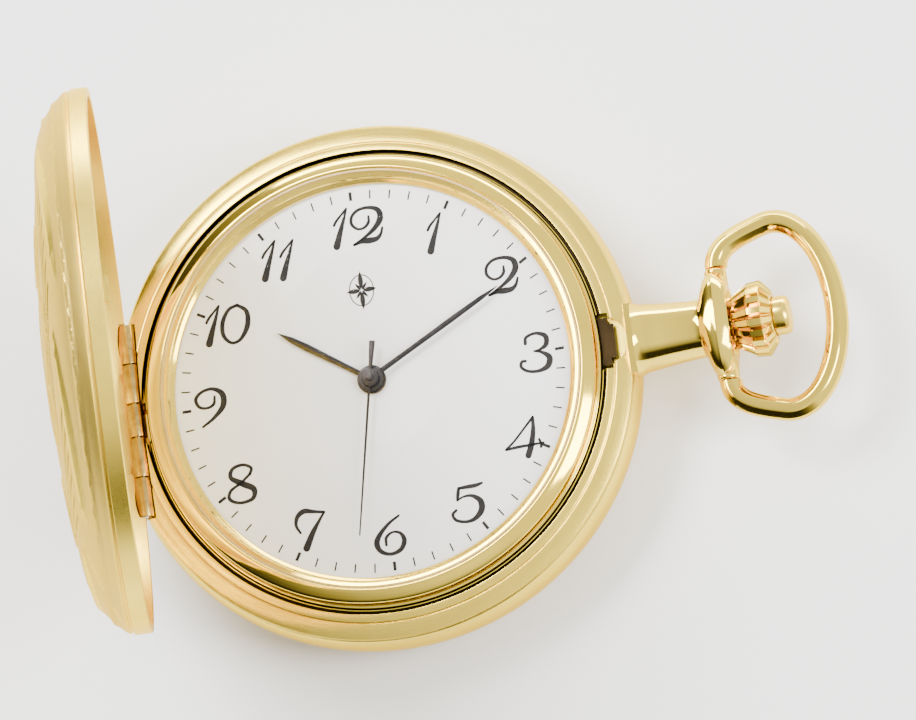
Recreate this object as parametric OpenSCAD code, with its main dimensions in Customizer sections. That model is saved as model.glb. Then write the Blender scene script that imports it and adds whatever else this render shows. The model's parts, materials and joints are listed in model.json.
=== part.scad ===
/* [Case] */
// Widest radius of the case band
case_r = 23.5; // [23.3:0.1:23.8]
// Height of the dial surface above the flat foot of the back
dial_z = 8.2; // [8.1:0.05:8.3]
// Radius of the flat foot of the back
foot_r = 9; // [7:0.5:11]
// Wall of the pressed covers
shell_t = 0.7; // [0.55:0.05:0.8]
/* [Cover] */
// Angle the front cover stands open at
cover_open = 79; // [70:1:85]
// Depth of the front cover from lip to crown
cover_depth = 6.4; // [6.2:0.1:6.8]
/* [Pendant] */
// Width of the bow across
bow_w = 18.9; // [17.6:0.1:19]
// Length of the bow along
bow_l = 11.6; // [11:0.1:12.8]
// Angle the bow hangs below level
bow_droop = 0; // [-10:1:31]
// Widest radius of the crown
crown_r = 3.4; // [3.2:0.05:3.6]
// Number of flutes on the crown
crown_ribs = 20; // [16:1:24]
/* [Time] */
// Clockwise angle of the hour hand from twelve
hour_at = 305.2; // [0:0.1:360]
// Clockwise angle of the minute hand from twelve
minute_at = 62.6; // [0:0.1:360]
// Clockwise angle of the second hand from twelve
second_at = 190.3; // [0:0.1:360]
/* [Hidden] */
$fn = 96;
eps = 0.01;
gold = "goldenrod";
brass = "darkkhaki";
steel = "silver";
dark = "dimgray";

// case heights and radii
land_in = case_r - 2.65;
land_out = case_r - 0.5;
land_top = dial_z - 0.1;
land_low = dial_z - 0.6;
seat_z = dial_z - 0.35;
bore_r = 19;
ledge_z = 5.55;
back_z = 3;
back_r = case_r - 0.6;
dial_r = 18.5;
dial_t = 0.4;
bezel_top = dial_z + 1.4;
glass_z = dial_z + 0.95;
glass_r = 18.6;

// cover hinge
hinge_x = -21.55;
hinge_z = dial_z - 0.5;
barrel_r = 0.75;
pin_r = 0.34;
lip_z = hinge_z + 0.05;
lip_r = case_r - 0.05;
lip_in = lip_r - shell_t - 0.05;
spring_screw_at = [-61, 128];

// stem, pendant and bow
stem_z = 6.6;
stem_r = 0.55;
neck_x = 29.5;
head_x = 32;
bow_x = 31;
head_w = 10.1;
head_h = 5.8;
crown_x = 32.1;
crown_end = 35.7;
crown_mid = 34.5;
button_r = 1.7;
button_end = 37.1;
bow_reach = 11.1;
bow_band = 2;
bow_t = 1.9;

// movement levels
plate_z = 5.6;
plate_t = 1.4;
plate_r = 18.2;
plate_top = plate_z + plate_t;
bridge_z = 2.6;
bridge_t = 0.8;
bridge_top = bridge_z + bridge_t;
bridge_r = 17.6;
bridge_screw_r = 17.05;
case_screw_r = 18.1;
case_screw_at = [-30, 150];
dial_foot_r = 17;
dial_screw_at = [110, 290];
ratchet_z = 1.95;
pivot_r = 0.14;
jewel_r = 0.6;

// gear train
mod_a = 0.2;
mod_b = 0.18;
third_c = (64 + 8) * mod_a / 2;
mod_third = 2 * third_c / (60 + 8);
barrel_c = (72 + 12) * mod_a / 2;
escape_c = (70 + 7) * mod_b / 2;
motion_c = (30 + 10) * mod_b / 2;
setting_c = (30 + 14) * mod_b / 2;
barrel_a = 60;
third_a = 200;
escape_a = 285;
motion_a = -20;
setting_a = -5;
barrel_p = polar(barrel_c, barrel_a);
third_p = polar(third_c, third_a);
escape_p = polar(escape_c, escape_a);
minute_p = polar(motion_c, motion_a);
setting_p = minute_p + polar(setting_c, setting_a);
balance_p = [8.6, -8.2];
pallet_p = [5, -7.8];
wind_p = [13.2, 2.1];
wind_mod = 0.24;
wind_n = 28;
ratchet_n = 58;
wind_a = atan2(wind_p[1] - barrel_p[1], wind_p[0] - barrel_p[0]);
wind_gap = norm(wind_p - barrel_p);
click_p = barrel_p + polar(8.6, 118);
lever_p = [15.3, -2.6];
yoke_p = [9.4, -3.6];

function polar(r, a) = [r * cos(a), r * sin(a)];

// points of a circular arc from a to b that bulges by s to the left of a-b
function arc_pts(a, b, s, n = 16) =
    let (c = b - a, l = norm(c), rad = (l * l / 4 + s * s) / (2 * s))
    let (nrm = [-c[1], c[0]] / l, mid = (a + b) / 2, o = mid + nrm * (s - rad))
    let (a0 = atan2(a[1] - o[1], a[0] - o[0]), half = asin(l / 2 / rad))
    [for (i = [0 : n]) o + abs(rad) * [cos(a0 - 2 * half * i / n), sin(a0 - 2 * half * i / n)]];

// one gear outline: short straight-sided teeth with running backlash
function gear_pts(n, m, turn) = [for (i = [0 : n - 1]) for (k = [[-0.29, -1.1], [-0.1, 0.85],
    [0.1, 0.85], [0.29, -1.1]]) polar(n * m / 2 + k[1] * m, turn + (i + k[0]) * 360 / n)];

// an even spiral strip from r0 to r1
function spiral_pts(r0, r1, turns, t) = concat(
    [for (i = [0 : turns * 30]) polar(r0 + (r1 - r0) * i / (turns * 30), i * 12)],
    [for (i = [turns * 30 : -1 : 0]) polar(r0 + (r1 - r0) * i / (turns * 30) + t, i * 12)]);

module at(p, z) {
    translate([p[0], p[1], z]) children();
}

module disc(r, z0, z1) {
    translate([0, 0, z0]) cylinder(r = r, h = z1 - z0);
}

module ring(r0, r1, z0, z1) {
    difference() {
        disc(r1, z0, z1);
        disc(r0, z0 - 1, z1 + 1);
    }
}

module gear(n, m, t, turn = 0) {
    linear_extrude(t) polygon(gear_pts(n, m, turn));
}

// a rod or bore along the stem axis
module along(r, x0, x1) {
    translate([x0, 0, stem_z]) rotate([0, 90, 0]) cylinder(r = r, h = x1 - x0);
}

// a profile of [x, r] points turned about the stem axis
module turned(pts) {
    translate([0, 0, stem_z]) rotate([0, 90, 0]) rotate_extrude() polygon([for (p = pts) [p[1], p[0]]]);
}

// a rod or bore along the hinge or bow axis, from y0 to y1
module across(x, z, r, y0, y1) {
    translate([x, y0, z]) rotate([-90, 0, 0]) cylinder(r = r, h = y1 - y0);
}

module sector(r, a0, a1) {
    reach = 3 * r;
    steps = 6;
    intersection() {
        circle(r);
        polygon(concat([[0, 0]], [for (i = [0 : steps]) polar(reach, a0 + (a1 - a0) * i / steps)]));
    }
}

module screw(r, head_t, len, shank_r) {
    slot_w = 0.22;
    difference() {
        union() {
            cylinder(r = r, h = head_t);
            translate([0, 0, head_t]) cylinder(r = shank_r, h = len);
        }
        translate([-r - 1, -slot_w / 2, -1]) cube([2 * r + 2, slot_w, 1 + head_t * 0.45]);
    }
}

// outer outline of the band, as a solid of revolution
module band_solid() {
    rotate_extrude() polygon(concat([[0, back_z], [back_r - 0.2, back_z]],
        arc_pts([case_r - 0.4, back_z + 0.2], [case_r - 0.3, land_low - 0.25], -0.35),
        [[land_out, land_low - 0.05], [land_out, land_low]],
        [[21.66, land_low + 0.31], [21.6, land_low + 0.25], [21.54, land_low + 0.34]],
        [[land_in, land_top], [land_in - 0.12, seat_z - 0.35], [land_in - 0.3, seat_z - 0.35],
        [land_in - 0.32, seat_z], [0, seat_z]]));
}

module case_middle() {
    notch_y = 9.8;
    groove_r = 20.2;
    lug_y = 1.6;
    lug_l = 3.5;
    color(gold) difference() {
        union() {
            difference() {
                band_solid();
                translate([-case_r - 1, -notch_y, 5.5]) cube([case_r + 1 + hinge_x - 0.05, 2 * notch_y, 5]);
                across(hinge_x, hinge_z, barrel_r + 0.1, -8.85, 8.85);
            }
            for (s = [-1, 1]) {
                across(hinge_x, hinge_z, barrel_r, s > 0 ? lug_y : -lug_y - lug_l, s > 0 ? lug_y + lug_l : -lug_y);
                translate([hinge_x - 0.05, s > 0 ? lug_y : -lug_y - lug_l, hinge_z - 1.4])
                    cube([1.1, lug_l, 1.35]);
            }
        }
        disc(bore_r, back_z - 1, seat_z + 1);
        disc(20.8, back_z - 1, ledge_z);
        ring(bore_r - 1, groove_r, 5.78, 7.15);
        along(0.62, bore_r - 1, case_r + 1);
        along(0.78, bore_r - 1, 22.35);
        translate([bore_r - 0.1, -2.5, 7]) cube([2.4, 5, 3]);
        translate([20.4, 0, 7.25]) cylinder(r = 2.35, h = 3);
        translate([-20.8, -2.2, 6.3]) cube([2, 3.1, 3]);
        across(hinge_x, hinge_z, pin_r, -9, 9);
        for (a = spring_screw_at) rotate([0, 0, a]) translate([groove_r - 0.3, 0, 6.5])
            rotate([0, 90, 0]) cylinder(r = 0.35, h = 1.5);
    }
}

module back_cover() {
    rise = 2.95;
    knee = [foot_r, 0];
    color(gold) difference() {
        rotate_extrude() union() {
            difference() {
                polygon(concat([[0, 0]], arc_pts(knee, [back_r, rise], -1.05, 24), [[0, rise]]));
                polygon(concat([[0, shell_t]], arc_pts(knee + [-0.2, shell_t],
                    [back_r - 1.3, rise], -0.85, 24), [[0, rise]]));
                translate([0, rise - eps]) square([back_r - 1.35, 1]);
            }
            translate([20.1, rise - 0.8]) square([0.6, 2]);
        }
        translate([0, -back_r - 0.6, rise + 0.35]) cube([3, 2, 1], center = true);
    }
}

module crystal_bezel() {
    color(gold) rotate_extrude() polygon([[17.7, dial_z + 0.1], [17.7, dial_z + 0.4],
        [18.2, dial_z + 0.9], [18.35, dial_z + 0.95], [18.8, dial_z + 0.95], [18.8, bezel_top - 0.05],
        [18.86, bezel_top], [19.05, bezel_top], [19.15, bezel_top - 0.2], [20.2, seat_z + 0.2],
        [20.4, seat_z + 0.16], [20.5, seat_z], [19.05, seat_z], [18.65, dial_z + 0.1]]);
}

module crystal() {
    edge = 0.45;
    rise = 0.85;
    color("lightcyan", 0.35) rotate_extrude() polygon(concat([[0, glass_z + rise]],
        arc_pts([0, glass_z + rise], [glass_r, glass_z], 0.06),
        arc_pts([glass_r, glass_z + edge], [0, glass_z + 1.65], -0.3)));
}

module crystal_gasket() {
    color("white") ring(glass_r, 18.78, glass_z, glass_z + 0.4);
}

module pendant() {
    lens_w = head_w - 0.4;
    lens_r = (lens_w * lens_w / 4 + head_h * head_h / 4) / head_h;
    ear_r = 1.15;
    color(gold) difference() {
        union() {
            turned([[22, 0], [22, 3.35], [23.2, 3.3], [24, 3.05], [25, 2.85], [26.4, 2.7], [28.6, 2.52],
                [29, 2.6], [29.3, 2.75], [30.4, 2.75], [30.4, 0]]);
            translate([neck_x, 0, stem_z]) rotate([0, 90, 0]) linear_extrude(head_x - neck_x - 0.5)
                intersection_for(s = [-1, 1]) translate([s * (lens_r - head_h / 2), 0]) circle(lens_r);
            turned([[31, 0], [31, 2.6], [32, 2.72], [32, 0]]);
            across(bow_x, stem_z, ear_r, -head_w / 2, head_w / 2);
        }
        band_solid();
        disc(lip_r + 0.12, lip_z - 0.1, lip_z + 4);
        along(0.62, 20, 40);
        turned([[31.3, 0], [31.3, 2.1], [31.6, 2.35], [33, 2.6], [33, 0]]);
        for (s = [-1, 1]) across(bow_x, stem_z, 0.55, s > 0 ? 3.3 : -6, s > 0 ? 6 : -3.3);
    }
}

module hinge_pin() {
    color(steel) across(hinge_x, hinge_z, pin_r - 0.02, -8.7, 8.7);
}

module spring_strip(a0, a1) {
    translate([0, 0, 5.85]) linear_extrude(1.15) difference() {
        sector(19.95, a0, a1);
        circle(19.4);
    }
}

module lift_spring() {
    color(brass) difference() {
        union() {
            spring_strip(122, 181);
            translate([-20.65, -1.9, 6.4]) cube([0.95, 2.5, 1]);
            translate([-20.65, -0.65, 7.4]) intersection() {
                cylinder(r = 1.25, h = 0.2);
                translate([0.01, -1.2, 0]) cube([0.9, 2.4, 0.3]);
            }
        }
        rotate([0, 0, 128]) translate([18, 0, 6.5]) rotate([0, 90, 0]) cylinder(r = 0.37, h = 4);
    }
}

module spring_screws() {
    color(steel) for (a = spring_screw_at) rotate([0, 0, a]) translate([19.05, 0, 6.5])
        rotate([0, 90, 0]) screw(0.5, 0.3, 1.8, 0.33);
}

module lock_catch() {
    color(steel) difference() {
        union() {
            spring_strip(-58, 6.2);
            translate([19.45, -2.1, 6.9]) cube([0.5, 4.2, 0.95]);
            translate([19.45, -2.1, 7.35]) cube([1.75, 4.2, 0.5]);
            translate([21.1, -1.5, 7.62]) cube([0.6, 3, 0.23]);
        }
        along(0.6, 15, 30);
    }
}

// closed-frame outline of the front cover
module cover_shell() {
    rim_h = 1.5;
    shoulder = [17, cover_depth - 1.2];
    foot = [lip_r - 0.1, rim_h + 0.35];
    in_shoulder = shoulder - [0, shell_t];
    in_foot = [lip_in - 0.1, rim_h + 0.3];
    difference() {
        translate([0, 0, lip_z]) rotate_extrude() difference() {
            polygon(concat([[0, 0], [lip_r - 0.08, 0], [lip_r, 0.08], [lip_r, rim_h - 0.1],
                [lip_r - 0.08, rim_h], [lip_r - 0.2, rim_h + 0.06], [lip_r - 0.2, rim_h + 0.2]],
                arc_pts(foot, shoulder, -0.85), arc_pts(shoulder, [0, cover_depth], -0.3)));
            polygon(concat([[0, -1], [lip_in, -1], [lip_in, rim_h]], arc_pts(in_foot, in_shoulder, -0.8),
                arc_pts(in_shoulder, [0, cover_depth - shell_t], -0.3)));
        }
        across(hinge_x, hinge_z, barrel_r + 0.1, -8.85, 8.85);
    }
}

// everything given in the closed frame swings up about the hinge axis
module opened(a) {
    translate([hinge_x, 0, hinge_z]) rotate([0, -a, 0]) translate([-hinge_x, 0, -hinge_z]) children();
}

module front_cover() {
    spans = [[-8.7, 3.5], [-1.45, 2.9], [5.2, 3.5]];
    color(gold) opened(cover_open) difference() {
        union() {
            cover_shell();
            for (k = spans) {
                across(hinge_x, hinge_z, barrel_r, k[0], k[0] + k[1]);
                translate([hinge_x - 1.3, k[0], lip_z]) cube([1.25, k[1], 0.6]);
            }
            translate([21.85, -0.9, lip_z]) cube([0.98, 1.8, 0.8]);
            translate([21.85, -0.9, lip_z - 0.25]) cube([0.62, 1.8, 0.35]);
            translate([21.5, -1.4, lip_z - 0.4]) cube([0.5, 2.8, 0.22]);
        }
        across(hinge_x, hinge_z, pin_r + 0.03, -10, 10);
    }
}

// oval slab, for the bow
module oval(w, l, h) {
    linear_extrude(h, center = true) resize([w, l]) circle(10, $fn = 72);
}

module bow() {
    mid = bow_reach - bow_l / 2;
    bevel = 0.5;
    ends_y = head_w / 2 + 0.06;
    color(gold) translate([bow_x, 0, stem_z]) rotate([0, bow_droop, 0]) union() {
        difference() {
            translate([mid, 0, 0]) rotate([0, 0, 90]) difference() {
                hull() {
                    oval(bow_w, bow_l, bow_t - 2 * bevel);
                    oval(bow_w - 2 * bevel, bow_l - 2 * bevel, bow_t);
                }
                oval(bow_w - 2 * bow_band, bow_l - 2 * bow_band, bow_t + 1);
            }
            translate([-3, -ends_y, -3]) cube([6, 2 * ends_y, 6]);
            for (s = [-1, 1]) translate([0, s > 0 ? ends_y - 1 : -ends_y - 4, 0]) rotate([-90, 0, 0])
                cylinder(r = 0.9, h = 5);
        }
        for (s = [-1, 1]) translate([0, s > 0 ? ends_y : -ends_y - 1.05, 0]) rotate([-90, 0, 0])
            cylinder(r = 1.1, h = 1.05);
        for (s = [-1, 1]) translate([0, s > 0 ? 3.5 : -ends_y - 0.2, 0]) rotate([-90, 0, 0])
            cylinder(r = 0.5, h = ends_y + 0.2 - 3.5);
    }
}

module crown() {
    flute_r = 0.5;
    color(gold) difference() {
        turned([[crown_x, 0], [crown_x, 2.3], [33.1, 2.75], [33.95, crown_r], [35, crown_r],
            [crown_end, 2.5], [crown_end, 0]]);
        for (i = [0 : crown_ribs - 1]) translate([0, 0, stem_z]) rotate([i * 360 / crown_ribs, 0, 0])
            translate([32.9, 0, crown_r + 0.22]) rotate([0, 90, 0]) cylinder(r = flute_r, h = 4);
        along(button_r + 0.05, 34.45, 40);
        along(1.15, 33.2, 40);
        along(stem_r, 30, 40);
    }
}

module winding_stem() {
    tail_r = 0.4;
    color(steel) difference() {
        union() {
            along(tail_r, 9.3, 14.9);
            along(stem_r, 14.9, 33.15);
        }
        along(0.33, 19.6, 40);
        difference() {
            along(2, 15.6, 16.4);
            along(0.35, 15, 17);
        }
        translate([19.85, -1, stem_z - 0.22]) cube([1.3, 2, 0.44]);
    }
}

module winding_pinion() {
    color(steel) difference() {
        translate([12.15, 0, stem_z]) rotate([0, 90, 0]) union() {
            cylinder(r = 0.85, h = 2.3);
            translate([0, 0, 0.9]) gear(14, 0.135, 1.4);
        }
        along(0.43, 10, 20);
    }
}

module sliding_pinion() {
    color(steel) difference() {
        translate([10.2, 0, stem_z]) rotate([0, 90, 0]) union() {
            cylinder(r = 0.72, h = 1.85);
            gear(14, 0.135, 0.7);
            translate([0, 0, 1.25]) cylinder(r = 1, h = 0.6);
        }
        along(0.43, 9, 20);
    }
}

module release_button() {
    rod_r = 0.3;
    color(gold) union() {
        turned([[35.35, 0], [35.35, button_r], [36.5, button_r], [36.9, 1.45], [button_end, 0.9],
            [button_end, 0]]);
        along(rod_r, 20.7, 35.4);
        translate([20.9, 0.62, stem_z]) rotate([90, 0, 0]) cylinder(r = 0.19, h = 1.24);
        difference() {
            along(0.7, 20.42, 21.15);
            along(stem_r + 0.03, 20, 24);
        }
    }
}

module button_spring() {
    wire = 0.16;
    coil_r = 0.85;
    color(steel) translate([33.45, 0, stem_z]) rotate([0, 90, 0])
        for (i = [0 : 3]) translate([0, 0, i * 0.28]) rotate_extrude() translate([coil_r, 0]) circle(wire);
}

module movement_ring() {
    color(brass) difference() {
        ring(plate_r + 0.04, bore_r - 0.05, plate_z, dial_z - dial_t);
        along(0.75, 15, 22);
        for (a = case_screw_at) at(polar(case_screw_r, a), 0) disc(0.6, 4, 7);
        for (a = spring_screw_at) rotate([0, 0, a]) translate([18.6, 0, 6.5]) rotate([0, 90, 0])
            cylinder(r = 0.6, h = 1);
        for (a = dial_screw_at) rotate([0, 0, a]) translate([17, 0, 6.3]) rotate([0, 90, 0])
            cylinder(r = 0.4, h = 3);
    }
}

module case_screws() {
    color(steel) for (a = case_screw_at) at(polar(case_screw_r, a), 5.05) screw(1.25, 0.5, 1.2, 0.5);
}

module dial() {
    dial_low = dial_z - dial_t;
    color("ivory") union() {
        ring(1.25, dial_r, dial_low, dial_z);
        for (a = dial_screw_at) at(polar(dial_foot_r, a), 0) disc(0.4, 6.1, dial_low);
    }
}

module dial_screws() {
    color(steel) for (a = dial_screw_at) rotate([0, 0, a]) translate([18.1, 0, 6.3]) rotate([0, -90, 0])
        screw(0.32, 0.15, 0.5, 0.2);
}

module mainplate() {
    posts = [[minute_p, 0.3], [setting_p, 0.3], [lever_p, 0.35], [yoke_p, 0.35]];
    wells = [third_p, escape_p, pallet_p, balance_p];
    color(brass) difference() {
        union() {
            disc(plate_r, plate_z, plate_top);
            at(wind_p, 0) disc(0.7, ratchet_z, plate_z + eps);
            for (p = posts) at(p[0], 0) disc(p[1], plate_top - eps, 7.7);
        }
        disc(0.78, 5, 8);
        for (p = wells) at(p, 0) disc(jewel_r, 5, plate_z + 0.5);
        for (p = wells) at(p, 0) disc(pivot_r + 0.05, 5, 6.4);
        at(barrel_p, 0) disc(0.65, 5, 6.6);
        for (a = case_screw_at) at(polar(case_screw_r, a), 0) disc(0.53, 4, 6.9);
        for (a = dial_screw_at) {
            at(polar(dial_foot_r, a), 0) disc(0.43, 6, 8);
            rotate([0, 0, a]) translate([17.2, 0, 6.3]) rotate([0, 90, 0]) cylinder(r = 0.34, h = 3);
        }
        along(0.62, 14.8, 20);
        translate([9.1, -1.25, 5]) cube([5.75, 2.5, 3]);
    }
}

// bridge plates carry a rim foot that stands on the mainplate
module bridge(a0, a1) {
    screw_room = 1.4;
    difference() {
        union() {
            translate([0, 0, bridge_z]) linear_extrude(bridge_t) sector(bridge_r, a0, a1);
            translate([0, 0, bridge_top - eps]) linear_extrude(plate_z - bridge_top + eps) difference() {
                sector(bridge_r, a0, a1);
                circle(bridge_r - 1.1);
            }
        }
        for (a = case_screw_at) at(polar(case_screw_r, a), 0) disc(screw_room, 2, 6);
        children();
    }
}

module barrel_bridge() {
    color(steel) bridge(-6, 124) {
        disc(2.5, 2, 4);
        at(barrel_p, 0) disc(0.65, 2, 4);
        at(wind_p, 0) disc(2.3, 2, 4);
        for (a = [-3, 62, 116]) at(polar(bridge_screw_r, a), 0) disc(0.42, 2, 6);
        at(click_p, 0) disc(0.3, 2, 4);
    }
}

module train_bridge() {
    color(steel) difference() {
        union() {
            bridge(127, 300) {
                disc(2.2, 2, 4);
            }
            disc(2.25, bridge_z, bridge_top);
        }
        for (p = [[0, 0], third_p, escape_p]) at(p, 0) disc(jewel_r, 2, 4);
        for (a = [135, 215, 292]) at(polar(bridge_screw_r, a), 0) disc(0.42, 2, 6);
    }
}

module balance_cock() {
    color(steel) bridge(303, 350) {
        disc(6.9, 2, 4);
        at(balance_p, 0) disc(jewel_r, 2, 4);
        at(balance_p + [2.45, -1.1], 0) disc(0.2, 2, 4);
        for (a = [309, 344]) at(polar(bridge_screw_r, a), 0) disc(0.42, 2, 6);
    }
}

module pallet_bridge() {
    along_y = [0.19, 0.98];
    reach = 3.1;
    color(steel) difference() {
        union() {
            hull() for (s = [-1, 1]) at(pallet_p + s * reach * along_y, 4.35) cylinder(r = 0.55, h = 0.25);
            for (s = [-1, 1]) at(pallet_p + s * reach * along_y, 0) disc(0.55, 4.5, plate_z);
        }
        at(pallet_p, 0) disc(0.4, 4, 5);
    }
}

module jewel(p, z, r, t) {
    at(p, z) difference() {
        cylinder(r = r, h = t);
        translate([0, 0, -1]) cylinder(r = pivot_r + 0.02, h = t + 2);
    }
}

module jewels() {
    color("crimson") {
        for (p = [third_p, escape_p, pallet_p, balance_p]) jewel(p, plate_z, jewel_r, 0.45);
        for (p = [[0, 0], third_p, escape_p, balance_p]) jewel(p, bridge_z + 0.1, jewel_r, 0.6);
        jewel(pallet_p, 4.38, 0.4, 0.2);
        at(balance_p, 0) disc(0.5, bridge_z - 0.2, bridge_z + 0.1);
    }
}

module bridge_screws() {
    color("slateblue") {
        for (a = [-3, 62, 116, 135, 215, 292, 309, 344]) at(polar(bridge_screw_r, a), bridge_z - 0.3)
            screw(0.75, 0.3, 2.95, 0.4);
        at(wind_p, ratchet_z - 0.25) cylinder(r = 1.1, h = 0.25);
        at(barrel_p, ratchet_z - 0.25) cylinder(r = 1.3, h = 0.25);
    }
}

module barrel() {
    drum_r = 6.85;
    color(brass) at(barrel_p, 0) difference() {
        union() {
            disc(drum_r, 3.95, 5.2);
            translate([0, 0, 4.9]) gear(72, mod_a, 0.25, barrel_a + 180);
        }
        disc(6.55, 4.15, 5);
        disc(0.93, 3, 6);
    }
}

module mainspring() {
    color(dark) at(barrel_p, 4.2) linear_extrude(0.75) polygon(spiral_pts(1.2, 6.3, 8, 0.14));
}

module barrel_arbor() {
    color(steel) at(barrel_p, 0) union() {
        disc(0.6, 2.5, 6.4);
        disc(0.88, 3.6, 5.5);
    }
}

module ratchet_wheel() {
    color(steel) at(barrel_p, ratchet_z) gear(ratchet_n, 2 * wind_gap / (wind_n + ratchet_n), 0.55, wind_a);
}

module crown_wheel() {
    spur_m = 2 * wind_gap / (wind_n + ratchet_n);
    color(steel) at(wind_p, 0) difference() {
        union() {
            translate([0, 0, ratchet_z]) gear(wind_n, spur_m, 0.55, wind_a + 180 + 180 / wind_n);
            disc(2.1, ratchet_z + 0.3, 5.45);
        }
        disc(1.5, 2.7, 6);
        disc(0.73, 1, 6);
    }
}

module click() {
    tip = barrel_p + polar(7.6, 104);
    color(steel) union() {
        hull() {
            at(click_p, ratchet_z) cylinder(r = 0.55, h = 0.5, $fn = 32);
            at(tip, ratchet_z) cylinder(r = 0.18, h = 0.5, $fn = 32);
        }
        at(click_p, 0) disc(0.27, ratchet_z, 3.3);
    }
}

module centre_wheel() {
    color(brass) difference() {
        union() {
            translate([0, 0, 5.3]) gear(64, mod_a, 0.2, third_a);
            translate([0, 0, 4.87]) gear(12, mod_a, 0.5, barrel_a + 180 / 12);
            disc(0.73, 5.4, 7.15);
            disc(0.5, 7, 7.7);
        }
        disc(0.31, 4, 8);
        for (i = [0 : 4]) rotate([0, 0, i * 72]) translate([3.8, 0, 5]) cylinder(r = 1.7, h = 1);
    }
}

module cannon_pinion() {
    color(steel) difference() {
        union() {
            translate([0, 0, 7.2]) gear(10, mod_b, 0.2, motion_a);
            disc(0.72, 7.2, 9.12);
        }
        disc(0.5, 7, 7.72);
        disc(0.31, 7, 10);
    }
}

module third_wheel() {
    color(brass) at(third_p, 0) difference() {
        union() {
            translate([0, 0, 4.4]) gear(60, mod_third, 0.2, third_a + 180);
            translate([0, 0, 4.5]) gear(8, mod_a, 1.02, third_a + 180 + 180 / 8);
            disc(0.5, 3.5, 5.55);
            disc(pivot_r, 2.8, 6);
        }
        for (i = [0 : 4]) rotate([0, 0, i * 72]) translate([3.8, 0, 4]) cylinder(r = 1.7, h = 1);
    }
}

module fourth_wheel() {
    color(brass) difference() {
        union() {
            translate([0, 0, 3.5]) gear(70, mod_b, 0.2, escape_a);
            translate([0, 0, 3.6]) gear(8, mod_third, 1.15, third_a + 180 / 8);
            disc(pivot_r, 2.8, 3.6);
            disc(0.28, 3.6, 9.3);
        }
        for (i = [0 : 4]) rotate([0, 0, i * 72]) translate([3.8, 0, 3]) cylinder(r = 1.6, h = 0.85);
    }
}

module escape_wheel() {
    teeth = 15;
    tip_r = 2.6;
    root_r = 2.15;
    pts = [for (i = [0 : teeth - 1]) for (k = [[0, root_r], [0.62, tip_r], [0.72, tip_r], [0.78, root_r]])
        polar(k[1], (i + k[0]) * 360 / teeth)];
    color(steel) at(escape_p, 0) difference() {
        union() {
            translate([0, 0, 4.7]) linear_extrude(0.22) polygon(pts);
            translate([0, 0, 3.45]) gear(7, mod_b, 0.4, escape_a + 180 + 180 / 7);
            disc(0.3, 3.42, 5.5);
            disc(pivot_r, 2.8, 6);
        }
        for (i = [0 : 3]) rotate([0, 0, i * 90]) translate([1.3, 0, 4]) cylinder(r = 0.55, h = 2);
    }
}

module pallet_fork() {
    to_b = atan2(balance_p[1] - pallet_p[1], balance_p[0] - pallet_p[0]);
    color(steel) at(pallet_p, 0) rotate([0, 0, to_b]) union() {
        difference() {
            translate([-0.3, -0.22, 4.7]) cube([2.85, 0.44, 0.25]);
            translate([2.2, -0.11, 4.5]) cube([1, 0.22, 1]);
        }
        for (s = [-1, 1]) translate([0, 0, 4.7]) linear_extrude(0.25)
            polygon([[0, 0], [-0.3, s * 0.3], [-0.5, s * 1.9], [-0.25, s * 1.95], [0.3, s * 0.3]]);
        disc(0.3, 4.65, 5.5);
        disc(pivot_r, 4.45, 6);
    }
}

module balance_wheel() {
    rim_r = 4.4;
    color(brass) at(balance_p, 0) union() {
        ring(rim_r - 0.55, rim_r, 3.75, 4.2);
        for (a = [20, 140, 260]) rotate([0, 0, a]) translate([0, -0.25, 3.85]) cube([rim_r - 0.3, 0.5, 0.22]);
        disc(0.32, 3.42, 5.5);
        disc(pivot_r, 2.8, 6);
        disc(0.5, 3.42, 3.6);
        disc(1, 5.05, 5.25);
        rotate([0, 0, 173.6]) translate([0.8, 0, 4.75]) cylinder(r = 0.1, h = 0.35);
    }
}

module hairspring() {
    color("steelblue") union() {
        at(balance_p, 3.48) linear_extrude(0.16) polygon(spiral_pts(0.62, 2.62, 6, 0.06));
        at(balance_p + [2.66, 0], 0) disc(0.12, bridge_top, 3.64);
    }
}

module hour_wheel() {
    color(brass) difference() {
        union() {
            translate([0, 0, 7.45]) gear(32, mod_b, 0.25, motion_a + 180 / 32);
            disc(1.1, 7.45, 8.72);
        }
        disc(0.78, 7, 9);
    }
}

module minute_wheel() {
    color(brass) at(minute_p, 0) difference() {
        union() {
            translate([0, 0, 7.2]) gear(30, mod_b, 0.2, motion_a + 180 + 180 / 30);
            translate([0, 0, 7.3]) gear(8, mod_b, 0.4, motion_a + 180);
        }
        disc(0.34, 7, 8);
    }
}

module setting_wheel() {
    mesh = motion_a + 180 + 180 / 30;
    near = round((setting_a - mesh) * 30 / 360);
    slip = setting_a - mesh - near * 12;
    color(steel) at(setting_p, 0) difference() {
        translate([0, 0, 7.2]) gear(14, mod_b, 0.2, setting_a + 180 + 180 / 14 + slip * 30 / 14);
        disc(0.34, 7, 8);
    }
}

module setting_lever() {
    color(steel) difference() {
        union() {
            hull() {
                at(lever_p, 7.03) cylinder(r = 0.75, h = 0.35, $fn = 32);
                at([15.9, -1.3], 7.03) cylinder(r = 0.3, h = 0.35, $fn = 32);
            }
            hull() {
                at([15.9, -1.3], 7.03) cylinder(r = 0.3, h = 0.35, $fn = 32);
                at([16, 0], 7.03) cylinder(r = 0.18, h = 0.35, $fn = 32);
            }
        }
        at(lever_p, 0) disc(0.38, 6, 8);
    }
}

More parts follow.
